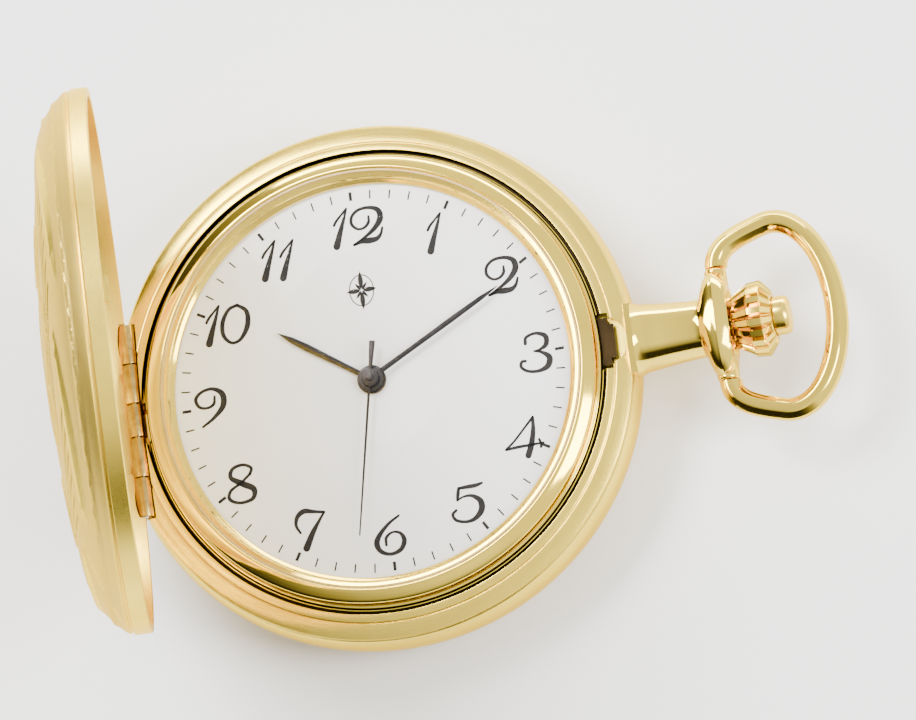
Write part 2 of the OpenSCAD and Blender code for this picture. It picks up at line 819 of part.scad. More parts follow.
module yoke() {
    color(steel) difference() {
        union() {
            hull() {
                at(yoke_p, 7.4) cylinder(r = 0.7, h = 0.28, $fn = 32);
                at([10.9, -1.6], 7.4) cylinder(r = 0.25, h = 0.28, $fn = 32);
            }
            hull() {
                at([10.9, -1.6], 7.4) cylinder(r = 0.25, h = 0.28, $fn = 32);
                at([11.12, 0], 7.4) cylinder(r = 0.14, h = 0.28, $fn = 32);
            }
        }
        at(yoke_p, 0) disc(0.38, 6, 8);
    }
}

// a tapered hand pointing to twelve before it is turned
module hand(turn, z, t, len, wide, belly, hub, bore) {
    color(dark) translate([0, 0, z]) rotate([0, 0, -turn]) difference() {
        union() {
            linear_extrude(t) polygon([[-wide * 0.3, 0], [-wide / 2, len * belly], [0, len],
                [wide / 2, len * belly], [wide * 0.3, 0]]);
            translate([0, 0, -0.02]) cylinder(r = hub, h = t + 0.04);
        }
        translate([0, 0, -1]) cylinder(r = bore, h = 3);
    }
}

module hour_hand() {
    hand(hour_at, dial_z + 0.35, 0.15, 9.6, 1, 0.45, 1.3, 1.1);
}

module minute_hand() {
    hand(minute_at, dial_z + 0.7, 0.15, 13.7, 0.85, 0.4, 1.2, 0.72);
}

module second_hand() {
    color(dark) translate([0, 0, dial_z + 1.05]) rotate([0, 0, -second_at]) difference() {
        union() {
            linear_extrude(0.12) polygon([[-0.11, 0], [-0.08, 14.1], [0.08, 14.1], [0.11, 0],
                [0.27, -3.3], [-0.27, -3.3]]);
            translate([0, 0, -0.05]) cylinder(r = 0.75, h = 0.2);
        }
        translate([0, 0, -1]) cylinder(r = 0.28, h = 1.06);
    }
}

case_middle();
back_cover();
crystal_bezel();
crystal();
crystal_gasket();
pendant();
hinge_pin();
lift_spring();
spring_screws();
lock_catch();
front_cover();
bow();
crown();
winding_stem();
winding_pinion();
sliding_pinion();
release_button();
button_spring();
movement_ring();
case_screws();
dial();
dial_screws();
mainplate();
barrel_bridge();
train_bridge();
balance_cock();
pallet_bridge();
jewels();
bridge_screws();
barrel();
mainspring();
barrel_arbor();
ratchet_wheel();
crown_wheel();
click();
centre_wheel();
cannon_pinion();
third_wheel();
fourth_wheel();
escape_wheel();
pallet_fork();
balance_wheel();
hairspring();
hour_wheel();
minute_wheel();
setting_wheel();
setting_lever();
yoke();
hour_hand();
minute_hand();
second_hand();
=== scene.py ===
import bpy
import bmesh
import json
import numpy as np
from math import sin, cos, pi, radians, atan2, hypot
from mathutils import Matrix, Vector


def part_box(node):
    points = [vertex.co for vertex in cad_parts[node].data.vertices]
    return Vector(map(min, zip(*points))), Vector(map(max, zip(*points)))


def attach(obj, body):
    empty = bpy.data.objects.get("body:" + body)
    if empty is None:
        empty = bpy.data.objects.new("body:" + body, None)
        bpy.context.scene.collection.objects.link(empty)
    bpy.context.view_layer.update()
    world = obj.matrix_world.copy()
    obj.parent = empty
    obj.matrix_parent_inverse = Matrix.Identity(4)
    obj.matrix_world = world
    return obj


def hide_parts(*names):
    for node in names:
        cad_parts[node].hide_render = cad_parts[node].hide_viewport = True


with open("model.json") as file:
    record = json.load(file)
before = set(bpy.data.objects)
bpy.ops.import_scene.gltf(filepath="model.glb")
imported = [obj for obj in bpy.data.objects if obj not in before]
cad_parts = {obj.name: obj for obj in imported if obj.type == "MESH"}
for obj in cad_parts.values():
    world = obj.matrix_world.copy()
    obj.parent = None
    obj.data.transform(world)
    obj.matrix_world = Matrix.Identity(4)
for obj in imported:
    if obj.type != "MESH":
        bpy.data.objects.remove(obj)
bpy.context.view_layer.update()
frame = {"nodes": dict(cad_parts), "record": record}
mm = 0.001


def nodeBox(node):
    low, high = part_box(node)
    return [c / mm for c in low], [c / mm for c in high]


def jointNamed(name):
    return [j for j in frame["record"]["behaviour"]["joints"] if j["name"] == name][0]


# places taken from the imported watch, in millimetres
dialTop = nodeBox("dial")[1][2]
caseRad = nodeBox("case_middle")[1][1]
bezelTop = nodeBox("crystal_bezel")[1][2]
stemZ = sum(b[2] for b in nodeBox("winding_stem")) / 2
hingeAt = [sum(b[i] for b in nodeBox("hinge_pin")) / 2 for i in range(3)]
openBy = -jointNamed("cover_hinge")["range_deg"][0]
bowX = jointNamed("bow_pivot")["pos_m"][0] / mm
crownBox = nodeBox("crown")
buttonBox = nodeBox("release_button")


# mesh tools: outlines are in millimetres, meshes in metres
def onObject(name, verts, faces, mat=None, sharp=32, place=None):
    mesh = bpy.data.meshes.new(name)
    mesh.from_pydata([(x * mm, y * mm, z * mm) for x, y, z in verts], [], faces)
    bm = bmesh.new()
    bm.from_mesh(mesh)
    bmesh.ops.remove_doubles(bm, verts=bm.verts, dist=1e-8)
    bmesh.ops.recalc_face_normals(bm, faces=bm.faces)
    bm.to_mesh(mesh)
    bm.free()
    obj = bpy.data.objects.new(name, mesh)
    bpy.context.collection.objects.link(obj)
    if place:
        obj.matrix_world = place
    if mat:
        mesh.materials.append(mat)
    smoothen(obj, sharp)
    return obj


def smoothen(obj, sharp):
    obj.data.shade_smooth()
    obj.data.set_sharp_from_angle(angle=radians(sharp))


def fit(obj, body, slotName, *nodes):
    if nodes:
        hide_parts(*nodes)
    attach(obj, body)


def soften(points, size, closed=False, steps=3):
    # rounds the corners of an outline, so that every edge catches the light
    out = []
    count = len(points)
    for i, p in enumerate(points):
        if not closed and i in (0, count - 1):
            out.append(p)
            continue
        a = Vector(points[i - 1])
        b = Vector(p)
        c = Vector(points[(i + 1) % count])
        d = min(size, (a - b).length * 0.45, (c - b).length * 0.45)
        start = b + (a - b).normalized() * d
        end = b + (c - b).normalized() * d
        for k in range(steps + 1):
            t = k / steps
            out.append(tuple(start * (1 - t) ** 2 + b * 2 * t * (1 - t) + end * t ** 2))
    return out


def arc(a, b, bulge, steps=12):
    # an arc from a to b that bulges to the left by that much
    a, b = Vector(a), Vector(b)
    chord = b - a
    rad = (chord.length_squared / 4 + bulge ** 2) / (2 * bulge)
    side = Vector((-chord.y, chord.x)).normalized()
    mid = (a + b) / 2 + side * (bulge - rad)
    first = atan2(a.y - mid.y, a.x - mid.x)
    sweep = 2 * np.arcsin(chord.length / 2 / rad)
    angles = [first - sweep * k / steps for k in range(steps + 1)]
    return [(mid.x + abs(rad) * cos(a), mid.y + abs(rad) * sin(a)) for a in angles]


def lathe(profile, steps=256, closed=True):
    # turns an outline of [radius, height] round Z
    verts = []
    rings = []
    for r, z in profile:
        if r < 1e-6:
            rings.append([len(verts)])
            verts.append((0, 0, z))
            continue
        rings.append([len(verts) + k for k in range(steps)])
        verts += [(r * cos(2 * pi * k / steps), r * sin(2 * pi * k / steps), z) for k in range(steps)]
    faces = []
    pairs = list(zip(rings, rings[1:]))
    if closed:
        pairs.append((rings[-1], rings[0]))
    for a, b in pairs:
        for k in range(steps):
            n = (k + 1) % steps
            if len(a) == 1 and len(b) == 1:
                break
            if len(a) == 1:
                faces.append((a[0], b[k], b[n]))
            elif len(b) == 1:
                faces.append((a[k], a[n], b[0]))
            else:
                faces.append((a[k], a[n], b[n], b[k]))
    return verts, faces


def loft(stations, steps=96):
    # rings of [x, half width, half height] strung along the stem axis
    verts = []
    faces = []
    for x, wide, high in stations:
        turns = [2 * pi * k / steps for k in range(steps)]
        verts += [(x, wide * cos(a), high * sin(a)) for a in turns]
    for i in range(len(stations) - 1):
        for k in range(steps):
            n = (k + 1) % steps
            faces.append((i * steps + k, i * steps + n, (i + 1) * steps + n, (i + 1) * steps + k))
    faces.append(tuple(range(steps)))
    faces.append(tuple((len(stations) - 1) * steps + k for k in range(steps)))
    return verts, faces


def block(low, high):
    verts = [(x, y, z) for x in (low[0], high[0]) for y in (low[1], high[1]) for z in (low[2], high[2])]
    faces = [(0, 1, 3, 2), (4, 6, 7, 5), (0, 4, 5, 1), (2, 3, 7, 6), (0, 2, 6, 4), (1, 5, 7, 3)]
    return verts, faces


def rod(a, b, r, steps=40):
    a, b = Vector(a), Vector(b)
    turn = (b - a).to_track_quat("Z", "Y").to_matrix()
    verts, faces = lathe([(0, 0), (r, 0), (r, (b - a).length), (0, (b - a).length)], steps, False)
    return [tuple(turn @ Vector(v) + a) for v in verts], faces


def joined(*shapes):
    verts = []
    faces = []
    for v, f in shapes:
        faces += [tuple(i + len(verts) for i in face) for face in f]
        verts += list(v)
    return verts, faces


def carve(obj, tools, sharp=32, operation="DIFFERENCE"):
    # cuts each tool out of the piece, or adds it
    for verts, faces in tools:
        tool = onObject("tool", verts, faces)
        mod = obj.modifiers.new("carve", "BOOLEAN")
        mod.operation = operation
        mod.solver = "EXACT"
        mod.object = tool
        ready = obj.evaluated_get(bpy.context.evaluated_depsgraph_get())
        mesh = bpy.data.meshes.new_from_object(ready)
        obj.modifiers.clear()
        old = obj.data
        obj.data = mesh
        bpy.data.meshes.remove(old)
        bpy.data.objects.remove(tool)
    smoothen(obj, sharp)


# material tools
def blankMaterial(name):
    mat = bpy.data.materials.new(name)
    mat.use_nodes = True
    return mat, mat.node_tree, mat.node_tree.nodes["Principled BSDF"]


def put(tree, kind, **sockets):
    node = tree.nodes.new(kind)
    for key, value in sockets.items():
        if hasattr(node, key):
            setattr(node, key, value)
        else:
            node.inputs[key].default_value = value
    return node


def noiseOn(tree, vector, size, detail=3.0, rough=0.55):
    node = put(tree, "ShaderNodeTexNoise")
    node.inputs["Scale"].default_value = size
    node.inputs["Detail"].default_value = detail
    node.inputs["Roughness"].default_value = rough
    tree.links.new(vector, node.inputs["Vector"])
    return node.outputs["Fac"]


def spread(tree, value, low, high, fromLow=0.3, fromHigh=0.7):
    node = put(tree, "ShaderNodeMapRange")
    ends = {"From Min": fromLow, "From Max": fromHigh, "To Min": low, "To Max": high}
    for key, number in ends.items():
        node.inputs[key].default_value = number
    tree.links.new(value, node.inputs["Value"])
    return node.outputs["Result"]


def blendTints(tree, factor, a, b):
    node = put(tree, "ShaderNodeMix", data_type="RGBA")
    node.inputs["A"].default_value = (*a, 1)
    node.inputs["B"].default_value = (*b, 1)
    tree.links.new(factor, node.inputs["Factor"])
    return node.outputs["Result"]


def placeIn(tree):
    # object place in millimetres
    coords = put(tree, "ShaderNodeTexCoord")
    scale = put(tree, "ShaderNodeVectorMath", operation="SCALE")
    scale.inputs["Scale"].default_value = 1 / mm
    tree.links.new(coords.outputs["Object"], scale.inputs[0])
    return scale.outputs["Vector"]


def grainPath(tree, place, grain):
    # bends the place so that noise on it runs along the tool's path
    if grain == "even":
        return place
    parts = put(tree, "ShaderNodeSeparateXYZ")
    tree.links.new(place, parts.inputs[0])
    join = put(tree, "ShaderNodeCombineXYZ")
    if grain == "turned":
        flat = put(tree, "ShaderNodeVectorMath", operation="MULTIPLY")
        flat.inputs[1].default_value = (1, 1, 0)
        tree.links.new(place, flat.inputs[0])
        length = put(tree, "ShaderNodeVectorMath", operation="LENGTH")
        tree.links.new(flat.outputs["Vector"], length.inputs[0])
        tree.links.new(length.outputs["Value"], join.inputs["X"])
        turnBy = put(tree, "ShaderNodeMath", operation="ARCTAN2")
        tree.links.new(parts.outputs["Y"], turnBy.inputs[0])
        tree.links.new(parts.outputs["X"], turnBy.inputs[1])
        slow = put(tree, "ShaderNodeMath", operation="MULTIPLY")
        slow.inputs[1].default_value = 0.35
        tree.links.new(turnBy.outputs["Value"], slow.inputs[0])
        tree.links.new(slow.outputs["Value"], join.inputs["Y"])
        tree.links.new(parts.outputs["Z"], join.inputs["Z"])
        return join.outputs["Vector"]
    stretch = put(tree, "ShaderNodeVectorMath", operation="MULTIPLY")
    stretch.inputs[1].default_value = (0.06, 1, 1) if grain == "alongX" else (1, 0.06, 1)
    tree.links.new(place, stretch.inputs[0])
    return stretch.outputs["Vector"]


def metal(name, look):
    mat, tree, shader = blankMaterial(name)
    place = placeIn(tree)
    patches = noiseOn(tree, place, look.get("patch", 0.25), 4)
    colour = blendTints(tree, spread(tree, patches, 0, 1), look["tint"], look["deep"])
    path = grainPath(tree, place, look.get("grain", "even"))
    fine = noiseOn(tree, path, look.get("fine", 12), 5, 0.6)
    base = look["rough"]
    rough = spread(tree, fine, base - look.get("play", 0.04), base + look.get("play", 0.04))
    if look.get("hollowShade"):
        # painted shade: hollows (low pointiness) take the darker hollow-shade colour, edges keep the base
        # colour
        geo = put(tree, "ShaderNodeNewGeometry")
        edge = spread(tree, geo.outputs["Pointiness"], 0, 1, 0.44, 0.53)
        node = put(tree, "ShaderNodeMix", data_type="RGBA")
        node.inputs["A"].default_value = (*look["hollowShade"], 1)
        tree.links.new(edge, node.inputs["Factor"])
        tree.links.new(colour, node.inputs["B"])
        colour = node.outputs["Result"]
    bump = put(tree, "ShaderNodeBump")
    bump.inputs["Strength"].default_value = look.get("depth", 0.05)
    bump.inputs["Distance"].default_value = look.get("reach", 0.02) * mm
    tree.links.new(fine, bump.inputs["Height"])
    tree.links.new(bump.outputs["Normal"], shader.inputs["Normal"])
    tree.links.new(colour, shader.inputs["Base Color"])
    tree.links.new(rough, shader.inputs["Roughness"])
    shader.inputs["Metallic"].default_value = look.get("metal", 1.0)
    shader.inputs["Specular Tint"].default_value = (*look.get("edge", (1, 1, 1)), 1)
    return mat


goldTones = {"tint": (0.95, 0.7, 0.09), "deep": (0.88, 0.62, 0.07), "edge": (0.97, 0.8, 0.42)}
goldMirror = metal("goldMirror", {**goldTones, "rough": 0.09, "play": 0.03, "fine": 9, "depth": 0.03})
goldSoft = metal("goldSoft", {**goldTones, "rough": 0.2, "play": 0.05, "fine": 22, "depth": 0.08})
goldTurned = metal("goldTurned", {**goldTones, "rough": 0.24, "play": 0.07, "fine": 14,
                                  "grain": "turned", "depth": 0.25, "reach": 0.03})
# goldSatin paints shade into the hollows of the chasing with its darker hollow colour
goldSatin = metal("goldSatin", {**goldTones, "tint": (0.84, 0.6, 0.1), "rough": 0.42, "play": 0.08,
                                "fine": 16, "depth": 0.35, "reach": 0.04, "hollowShade": (0.5, 0.33, 0.1)})
# painted shade: the hinge knuckles take a darker gold, standing in for the shade of the notch they sit in
# under the cover
goldHingeShaded = metal("goldHingeShaded", {**goldTones, "tint": (0.6, 0.41, 0.1), "deep": (0.3, 0.19, 0.05),
                                "rough": 0.22, "patch": 0.9, "fine": 16, "grain": "alongY", "depth": 0.2})
goldBrushed = metal("goldBrushed", {**goldTones, "rough": 0.32, "play": 0.08, "fine": 18,
                                    "grain": "turned", "depth": 0.35, "reach": 0.03})
gilt = metal("gilt", {"tint": (0.83, 0.68, 0.36), "deep": (0.74, 0.58, 0.28), "rough": 0.3, "fine": 18,
                      "grain": "turned", "depth": 0.2})
steelBright = metal("steelBright", {"tint": (0.62, 0.63, 0.65), "deep": (0.52, 0.53, 0.56),
                                    "rough": 0.16, "fine": 20, "grain": "alongX", "depth": 0.1})
nickelStriped = metal("nickelStriped", {"tint": (0.74, 0.72, 0.67), "deep": (0.66, 0.64, 0.58),
                                        "rough": 0.26, "fine": 6, "grain": "alongY", "depth": 0.3,
                                        "reach": 0.05})
blueSteel = metal("blueSteel", {"tint": (0.06, 0.1, 0.32), "deep": (0.08, 0.06, 0.26), "rough": 0.18})
handGrey = metal("handGrey", {"tint": (0.045, 0.04, 0.04), "deep": (0.03, 0.027, 0.026), "rough": 0.34,
                              "fine": 10, "depth": 0.12, "patch": 0.6})
# painted shade: a near-black gold for faces in narrow gaps and slots where no light reaches
paintedGapShade = metal("paintedGapShade", {"tint": (0.03, 0.019, 0.008), "deep": (0.014, 0.009, 0.004),
                                  "rough": 0.35, "fine": 8, "depth": 0.2})


def paint(name, look):
    mat, tree, shader = blankMaterial(name)
    place = placeIn(tree)
    cloud = noiseOn(tree, place, look["patch"], 3)
    tree.links.new(blendTints(tree, spread(tree, cloud, 0, 1), look["tint"], look["deep"]),
                   shader.inputs["Base Color"])
    fine = noiseOn(tree, place, look["fine"], 4)
    rough = spread(tree, fine, look["rough"] - 0.05, look["rough"] + 0.05)
    tree.links.new(rough, shader.inputs["Roughness"])
    bump = put(tree, "ShaderNodeBump")
    bump.inputs["Strength"].default_value = look["depth"]
    bump.inputs["Distance"].default_value = 0.01 * mm
    tree.links.new(fine, bump.inputs["Height"])
    tree.links.new(bump.outputs["Normal"], shader.inputs["Normal"])
    for key, value in look.get("fixed", {}).items():
        shader.inputs[key].default_value = value
    return mat


dialWhite = paint("dialWhite", {"tint": (0.95, 0.95, 0.97), "deep": (0.92, 0.925, 0.945), "patch": 0.12,
                                "fine": 30, "rough": 0.42, "depth": 0.06, "fixed": {"Coat Weight": 0.2}})
inkGrey = paint("inkGrey", {"tint": (0.014, 0.012, 0.012), "deep": (0.022, 0.02, 0.019), "patch": 0.9,
                            "fine": 20, "rough": 0.7, "depth": 0.1,
                            "fixed": {"Specular IOR Level": 0.12}})
gasketHoney = paint("gasketHoney", {"tint": (0.62, 0.43, 0.12), "deep": (0.5, 0.33, 0.09), "patch": 0.5,
                                    "fine": 12, "rough": 0.3, "depth": 0.1})
rubyRed = paint("rubyRed", {"tint": (0.55, 0.02, 0.08), "deep": (0.42, 0.01, 0.05), "patch": 2,
                            "fine": 9, "rough": 0.12, "depth": 0.02,
                            "fixed": {"Transmission Weight": 0.5, "IOR": 1.77}})


def crystalClear():
    mat, tree, shader = blankMaterial("crystalClear")
    shader.inputs["Base Color"].default_value = (0.97, 0.98, 1, 1)
    shader.inputs["IOR"].default_value = 1.49
    place = placeIn(tree)
    fine = noiseOn(tree, place, 1.2, 2)
    tree.links.new(spread(tree, fine, 0.01, 0.05), shader.inputs["Roughness"])
    facing = put(tree, "ShaderNodeLayerWeight")
    facing.inputs["Blend"].default_value = 0.25
    tree.links.new(spread(tree, facing.outputs["Facing"], 0.004, 0.4, 0.08, 1), shader.inputs["Alpha"])
    return mat


clearCrystal = crystalClear()
print("materials ready")

def darken(obj, ring, heights):
    # painted shade: faces in the narrow gaps between rings take the near-black material, as the gaps hold no
    # light
    obj.data.materials.append(paintedGapShade)
    for face in obj.data.polygons:
        c = face.center / mm
        if ring[0] < hypot(c.x, c.y) < ring[1] and heights[0] < c.z < heights[1]:
            face.material_index = 1

caseShape = {"landLine": 21.6, "lineWidth": 0.07, "edgeRound": 0.07, "notchHalf": 9.8, "lugFrom": 1.6,
             "lugLong": 3.5, "barrel": 0.75, "slotHalf": 2.5, "wellAt": 20.4, "wellRad": 2.33}


def makeCase(look):
    r = caseRad
    top = dialTop - 0.1  # the land slopes from here down to low
    low = dialTop - 0.6
    outside = arc((r - 0.4, 3.2), (r - 0.3, low - 0.25), -0.35, 20)
    line, half = look["landLine"], look["lineWidth"]
    lineTop = top - (top - low) / 2.15 * (line - 20.85)
    land = [(r - 0.5, low - 0.05), (r - 0.5, low), (line + half, lineTop - 0.02), (line, lineTop - 0.09),
            (line - half, lineTop + 0.02), (20.85, top), (20.73, top - 0.6), (20.55, top - 0.6),
            (20.53, top - 0.25), (19.05, top - 0.25)]
    profile = [(20.8, 3), (r - 0.75, 3)] + outside + land + [(19.05, 5.6), (20.8, 5.6)]
    verts, faces = lathe(soften(profile, look["edgeRound"], True, 2), 320)
    band = onObject("caseBand", verts, faces, goldTurned)
    hx, hz = hingeAt[0], hingeAt[2]
    tools = [block((-r - 1, -look["notchHalf"], 5.5), (hx - 0.05, look["notchHalf"], 12)),
             rod((hx, -8.85, hz), (hx, 8.85, hz), look["barrel"] + 0.1),
             block((19.02, -look["slotHalf"], 7), (21.3, look["slotHalf"], 12)),
             rod((look["wellAt"], 0, 7.27), (look["wellAt"], 0, 12), look["wellRad"], 64),
             block((-20.8, -2.2, 6.3), (-18.8, 0.9, 12))]
    carve(band, tools)
    # painted shade in the groove between the land and the bezel
    darken(band, (20.5, 20.82), (top - 0.7, top - 0.12))
    fit(band, "case", "gold_plate", "case_middle")
    for side in (-1, 1):
        ends = sorted((side * look["lugFrom"], side * (look["lugFrom"] + look["lugLong"])))
        tube = lathe(soften([(0.36, ends[0]), (look["barrel"], ends[0]), (look["barrel"], ends[1]),
                             (0.36, ends[1])], 0.08, True), 48)
        seat = block((hx - 0.05, ends[0], hz - 1.4), (hx + 1.0, ends[1], hz - 0.05))
        turned = [(hx + x, z, hz + y) for x, y, z in tube[0]]
        # painted shade on the case knuckles, through the darker hinge gold
        lug = onObject("caseKnuckle", *joined((turned, tube[1]), seat), goldHingeShaded)
        fit(lug, "case", "gold_plate")
    pin = lathe(soften([(0, -8.7), (0.33, -8.7), (0.33, 8.7), (0, 8.7)], 0.05), 32, False)
    pinPiece = onObject("hingePin", [(hx + x, z, hz + y) for x, y, z in pin[0]], pin[1], steelBright)
    fit(pinPiece, "case", "steel", "hinge_pin")


makeCase(caseShape)

bezelShape = {"inner": 17.7, "outer": 20.4, "round": 0.08}


def makeBezel(look):
    z = dialTop
    profile = [(look["inner"], z + 0.12), (look["inner"], z + 0.38), (18.05, z + 0.62), (18.2, z + 0.92),
               (18.78, z + 0.95), (18.8, bezelTop - 0.06), (18.9, bezelTop), (19.05, bezelTop),
               (19.2, bezelTop - 0.05), (19.5, bezelTop - 0.2), (19.8, bezelTop - 0.37),
               (20, bezelTop - 0.52), (20.09, bezelTop - 0.72), (20.12, z - 0.02), (20.3, z - 0.04),
               (look["outer"], z - 0.16), (20.48, z - 0.34), (19.06, z - 0.34), (18.66, z + 0.12)]
    verts, faces = lathe(soften(profile, look["round"], True, 3), 320)
    bezel = onObject("bezel", verts, faces, goldMirror)
    # painted shade on the bezel's foot, down in that groove
    darken(bezel, (20.32, 20.6), (z - 0.5, z - 0.05))
    fit(bezel, "case", "gold_plate", "crystal_bezel")


makeBezel(bezelShape)

crystalShape = {"radius": 18.6, "edge": 0.4, "rise": 1.2, "thick": 0.75}


def makeCrystal(look):
    foot = dialTop + 0.96
    under = arc((0, foot + look["rise"] - 0.35), (look["radius"], foot), 0.12, 24)
    over = arc((look["radius"], foot + look["edge"]), (0, foot + look["rise"] + 0.44), -0.34, 24)
    verts, faces = lathe(under + over, 192, False)
    fit(onObject("crystalDome", verts, faces, clearCrystal, 50), "case", "crystal", "crystal")


makeCrystal(crystalShape)


def swirlLines(look):
    # scrolls: each one grows out of a ring point and winds inwards
    lines = []
    for k in range(look["scrolls"]):
        at = 2 * pi * (k + 0.5) / look["scrolls"]
        hand = 1 if k % 2 else -1
        centre = Vector((cos(at), sin(at))) * look["scrollRing"]
        spin = [look["scrollSize"] * (1 - t) ** 0.8 for t in np.linspace(0, 0.93, 60)]
        turn = [at + pi + hand * t * 9.5 for t in np.linspace(0, 0.93, 60)]
        lines.append([(centre.x + s * cos(a), centre.y + s * sin(a)) for s, a in zip(spin, turn)])
        # the stalk runs on along the border
        tail = [at + hand * t for t in np.linspace(0, 0.62, 30)]
        reach = [look["scrollRing"] - look["scrollSize"] + look["scrollSize"] * 1.7 * t ** 0.7
                 for t in np.linspace(0, 1, 30)]
        lines.append([(q * cos(a), q * sin(a)) for q, a in zip(reach, tail)])
        for j in range(4):
            # small leaves off the stalk
            a = tail[6 + j * 6]
            q = reach[6 + j * 6]
            lines.append([((q + 1.5 * t - 0.4 * t * t) * cos(a + hand * 0.09 * t * t),
                           (q + 1.5 * t - 0.4 * t * t) * sin(a + hand * 0.09 * t * t))
                          for t in np.linspace(0.05, 1, 10)])
    return lines


def nearLines(xy, lines):
    best = np.full(len(xy), 9.0, dtype=np.float32)
    for line in lines:
        pts = np.array(line, dtype=np.float32)
        centre = pts.mean(axis=0)
        reach = np.sqrt(((pts - centre) ** 2).sum(axis=1)).max() + 1.2
        close = np.where(np.sqrt(((xy - centre) ** 2).sum(axis=1)) < reach)[0]
        for a, b in zip(pts, pts[1:]):
            seg = b - a
            d = xy[close] - a
            t = np.clip((d @ seg) / max(float(seg @ seg), 1e-9), 0, 1)
            gap = d - t[:, None] * seg
            best[close] = np.minimum(best[close], np.sqrt((gap ** 2).sum(axis=1)))
    return best


def leafAt(xy, look):
    # how far inside a border leaf each place is, and how wide the leaf is there
    r = np.sqrt((xy ** 2).sum(axis=1))
    phase = (np.arctan2(xy[:, 1], xy[:, 0]) * look["scrolls"] / (2 * pi)) % 1.0
    spine = look["leafAt"] - look["leafLean"] * (phase - 0.5)
    half = look["leafHalf"] * np.maximum(np.sin(pi * np.clip((phase - 0.06) / 0.88, 0, 1)), 0) ** 0.8
    return np.clip(1 - np.abs((r - spine) / np.maximum(half, 0.02)), 0, 1), half


def engraving(xy, look):
    # height of the chased pattern over the smooth shell
    r = np.sqrt((xy ** 2).sum(axis=1))
    a = np.arctan2(xy[:, 1], xy[:, 0])
    n = look["scrolls"]
    lines = nearLines(xy, swirlLines(look))
    height = look["ridge"] * np.exp(-(lines / look["ridgeWide"]) ** 2)
    # long bright-cut leaves lean along the border, one after another
    leaf, half = leafAt(xy, look)
    height += look["leafUp"] * leaf * np.clip(half / 0.4, 0, 1)
    # curved gouge cuts sweep inwards from each leaf
    inward = np.maximum(look["leafAt"] - r, 0)
    swing = (a + look["gougeBend"] * 0.01 * inward ** 1.25) * n / (2 * pi)
    local = swing % 1.0
    comb = np.abs(((local * look["gouges"]) % 1.0) - 0.5) * 2
    reach = np.clip((look["leafAt"] - 0.5 - r) / 0.5, 0, 1) * np.clip((r - look["gougeTo"]) / 2.5, 0, 1)
    group = ((local > 0.1) & (local < 0.72)).astype(float)
    cut = np.clip(1 - comb / 0.4, 0, 1) * reach * group * (lines > look["ridgeWide"] * 1.8)
    height -= look["gougeDeep"] * cut
    # rope border beside the rim, and a line inside it
    rope = np.clip(1 - np.abs(r - look["ropeAt"]) / 0.24, 0, 1)
    grain = np.sin(a * 151 + r * 13) * np.sin(a * 103 - r * 17)
    height += look["ropeUp"] * np.sqrt(rope) * (0.55 + 0.45 * grain)
    # plain shield in the middle with a raised edge
    edge = look["cartouche"] + 0.35 * np.cos(a * 4)
    height += 0.1 * np.exp(-((r - edge) / 0.16) ** 2)
    height += 0.06 * np.exp(-((r - edge - 0.55) / 0.1) ** 2)
    return height


coverShape = {"rim": 1.55, "depth": 6.4, "wall": 0.72, "steps": 640, "rings": 170,
              "scrolls": 6, "scrollRing": 13.2, "scrollSize": 3.4, "ridge": 0.16, "ridgeWide": 0.2,
              "cartouche": 5.6, "leafAt": 20.5, "leafLean": 1.7, "leafHalf": 0.75, "leafUp": 0.22,
              "gouges": 10, "gougeBend": 9, "gougeTo": 13, "gougeDeep": 0.3, "ropeAt": 22.3,
              "ropeUp": 0.16}


def shellRings(look, lip, rad):
    # smooth outer curve of a pressed cover, from the border up to the centre
    curve = arc((rad - 0.1, lip + look["rim"] + 0.35), (17, lip + look["depth"] - 1.2), -0.85, 60)
    curve += arc((17, lip + look["depth"] - 1.2), (0, lip + look["depth"]), -0.3, 60)[1:]
    pts = np.array(curve)
    run = np.concatenate([[0], np.cumsum(np.sqrt((np.diff(pts, axis=0) ** 2).sum(axis=1)))])
    want = np.linspace(0, run[-1], look["rings"])
    return list(zip(np.interp(want, run, pts[:, 0]), np.interp(want, run, pts[:, 1])))


def chasedShell(look, lip, rad, inner):
    # one closed skin: smooth inside, lip, rim band, groove, then the chased dome
    rimLoop = [(rad - 0.75, lip + 0.06), (rad - 0.69, lip), (rad - 0.1, lip), (rad, lip + 0.1),
               (rad, lip + look["rim"] - 0.1), (rad - 0.07, lip + look["rim"] - 0.02),
               (rad - 0.22, lip + look["rim"] + 0.05), (rad - 0.24, lip + look["rim"] + 0.16)]
    dome = shellRings(look, lip, rad)
    profile = inner + rimLoop + dome[:-1] + [(0, dome[-1][1])]
    verts, faces = lathe(profile, look["steps"], False)
    verts = np.array(verts)
    first = 1 + (len(inner) - 1 + len(rimLoop)) * look["steps"]
    part = verts[first:]
    r = np.sqrt((part[:, :2] ** 2).sum(axis=1))
    lean = np.clip((r - 17) / 6, 0, 1) * 0.8
    out = engraving(part[:, :2].astype(np.float32), look) * np.clip((rad - 0.25 - r) / 0.3, 0, 1)
    part[:, 2] += out * np.cos(lean)
    push = out * np.sin(lean) / np.maximum(r, 1e-6)
    part[:, 0] += part[:, 0] * push
    part[:, 1] += part[:, 1] * push
    return onObject("coverShell", [tuple(v) for v in verts], faces, goldSatin, 40)


def openedCover():
    # the shut cover's place, swung back to the open rest position
    hinge = Matrix.Translation(Vector(hingeAt) * mm)
    return hinge @ Matrix.Rotation(radians(-openBy), 4, "Y") @ hinge.inverted()


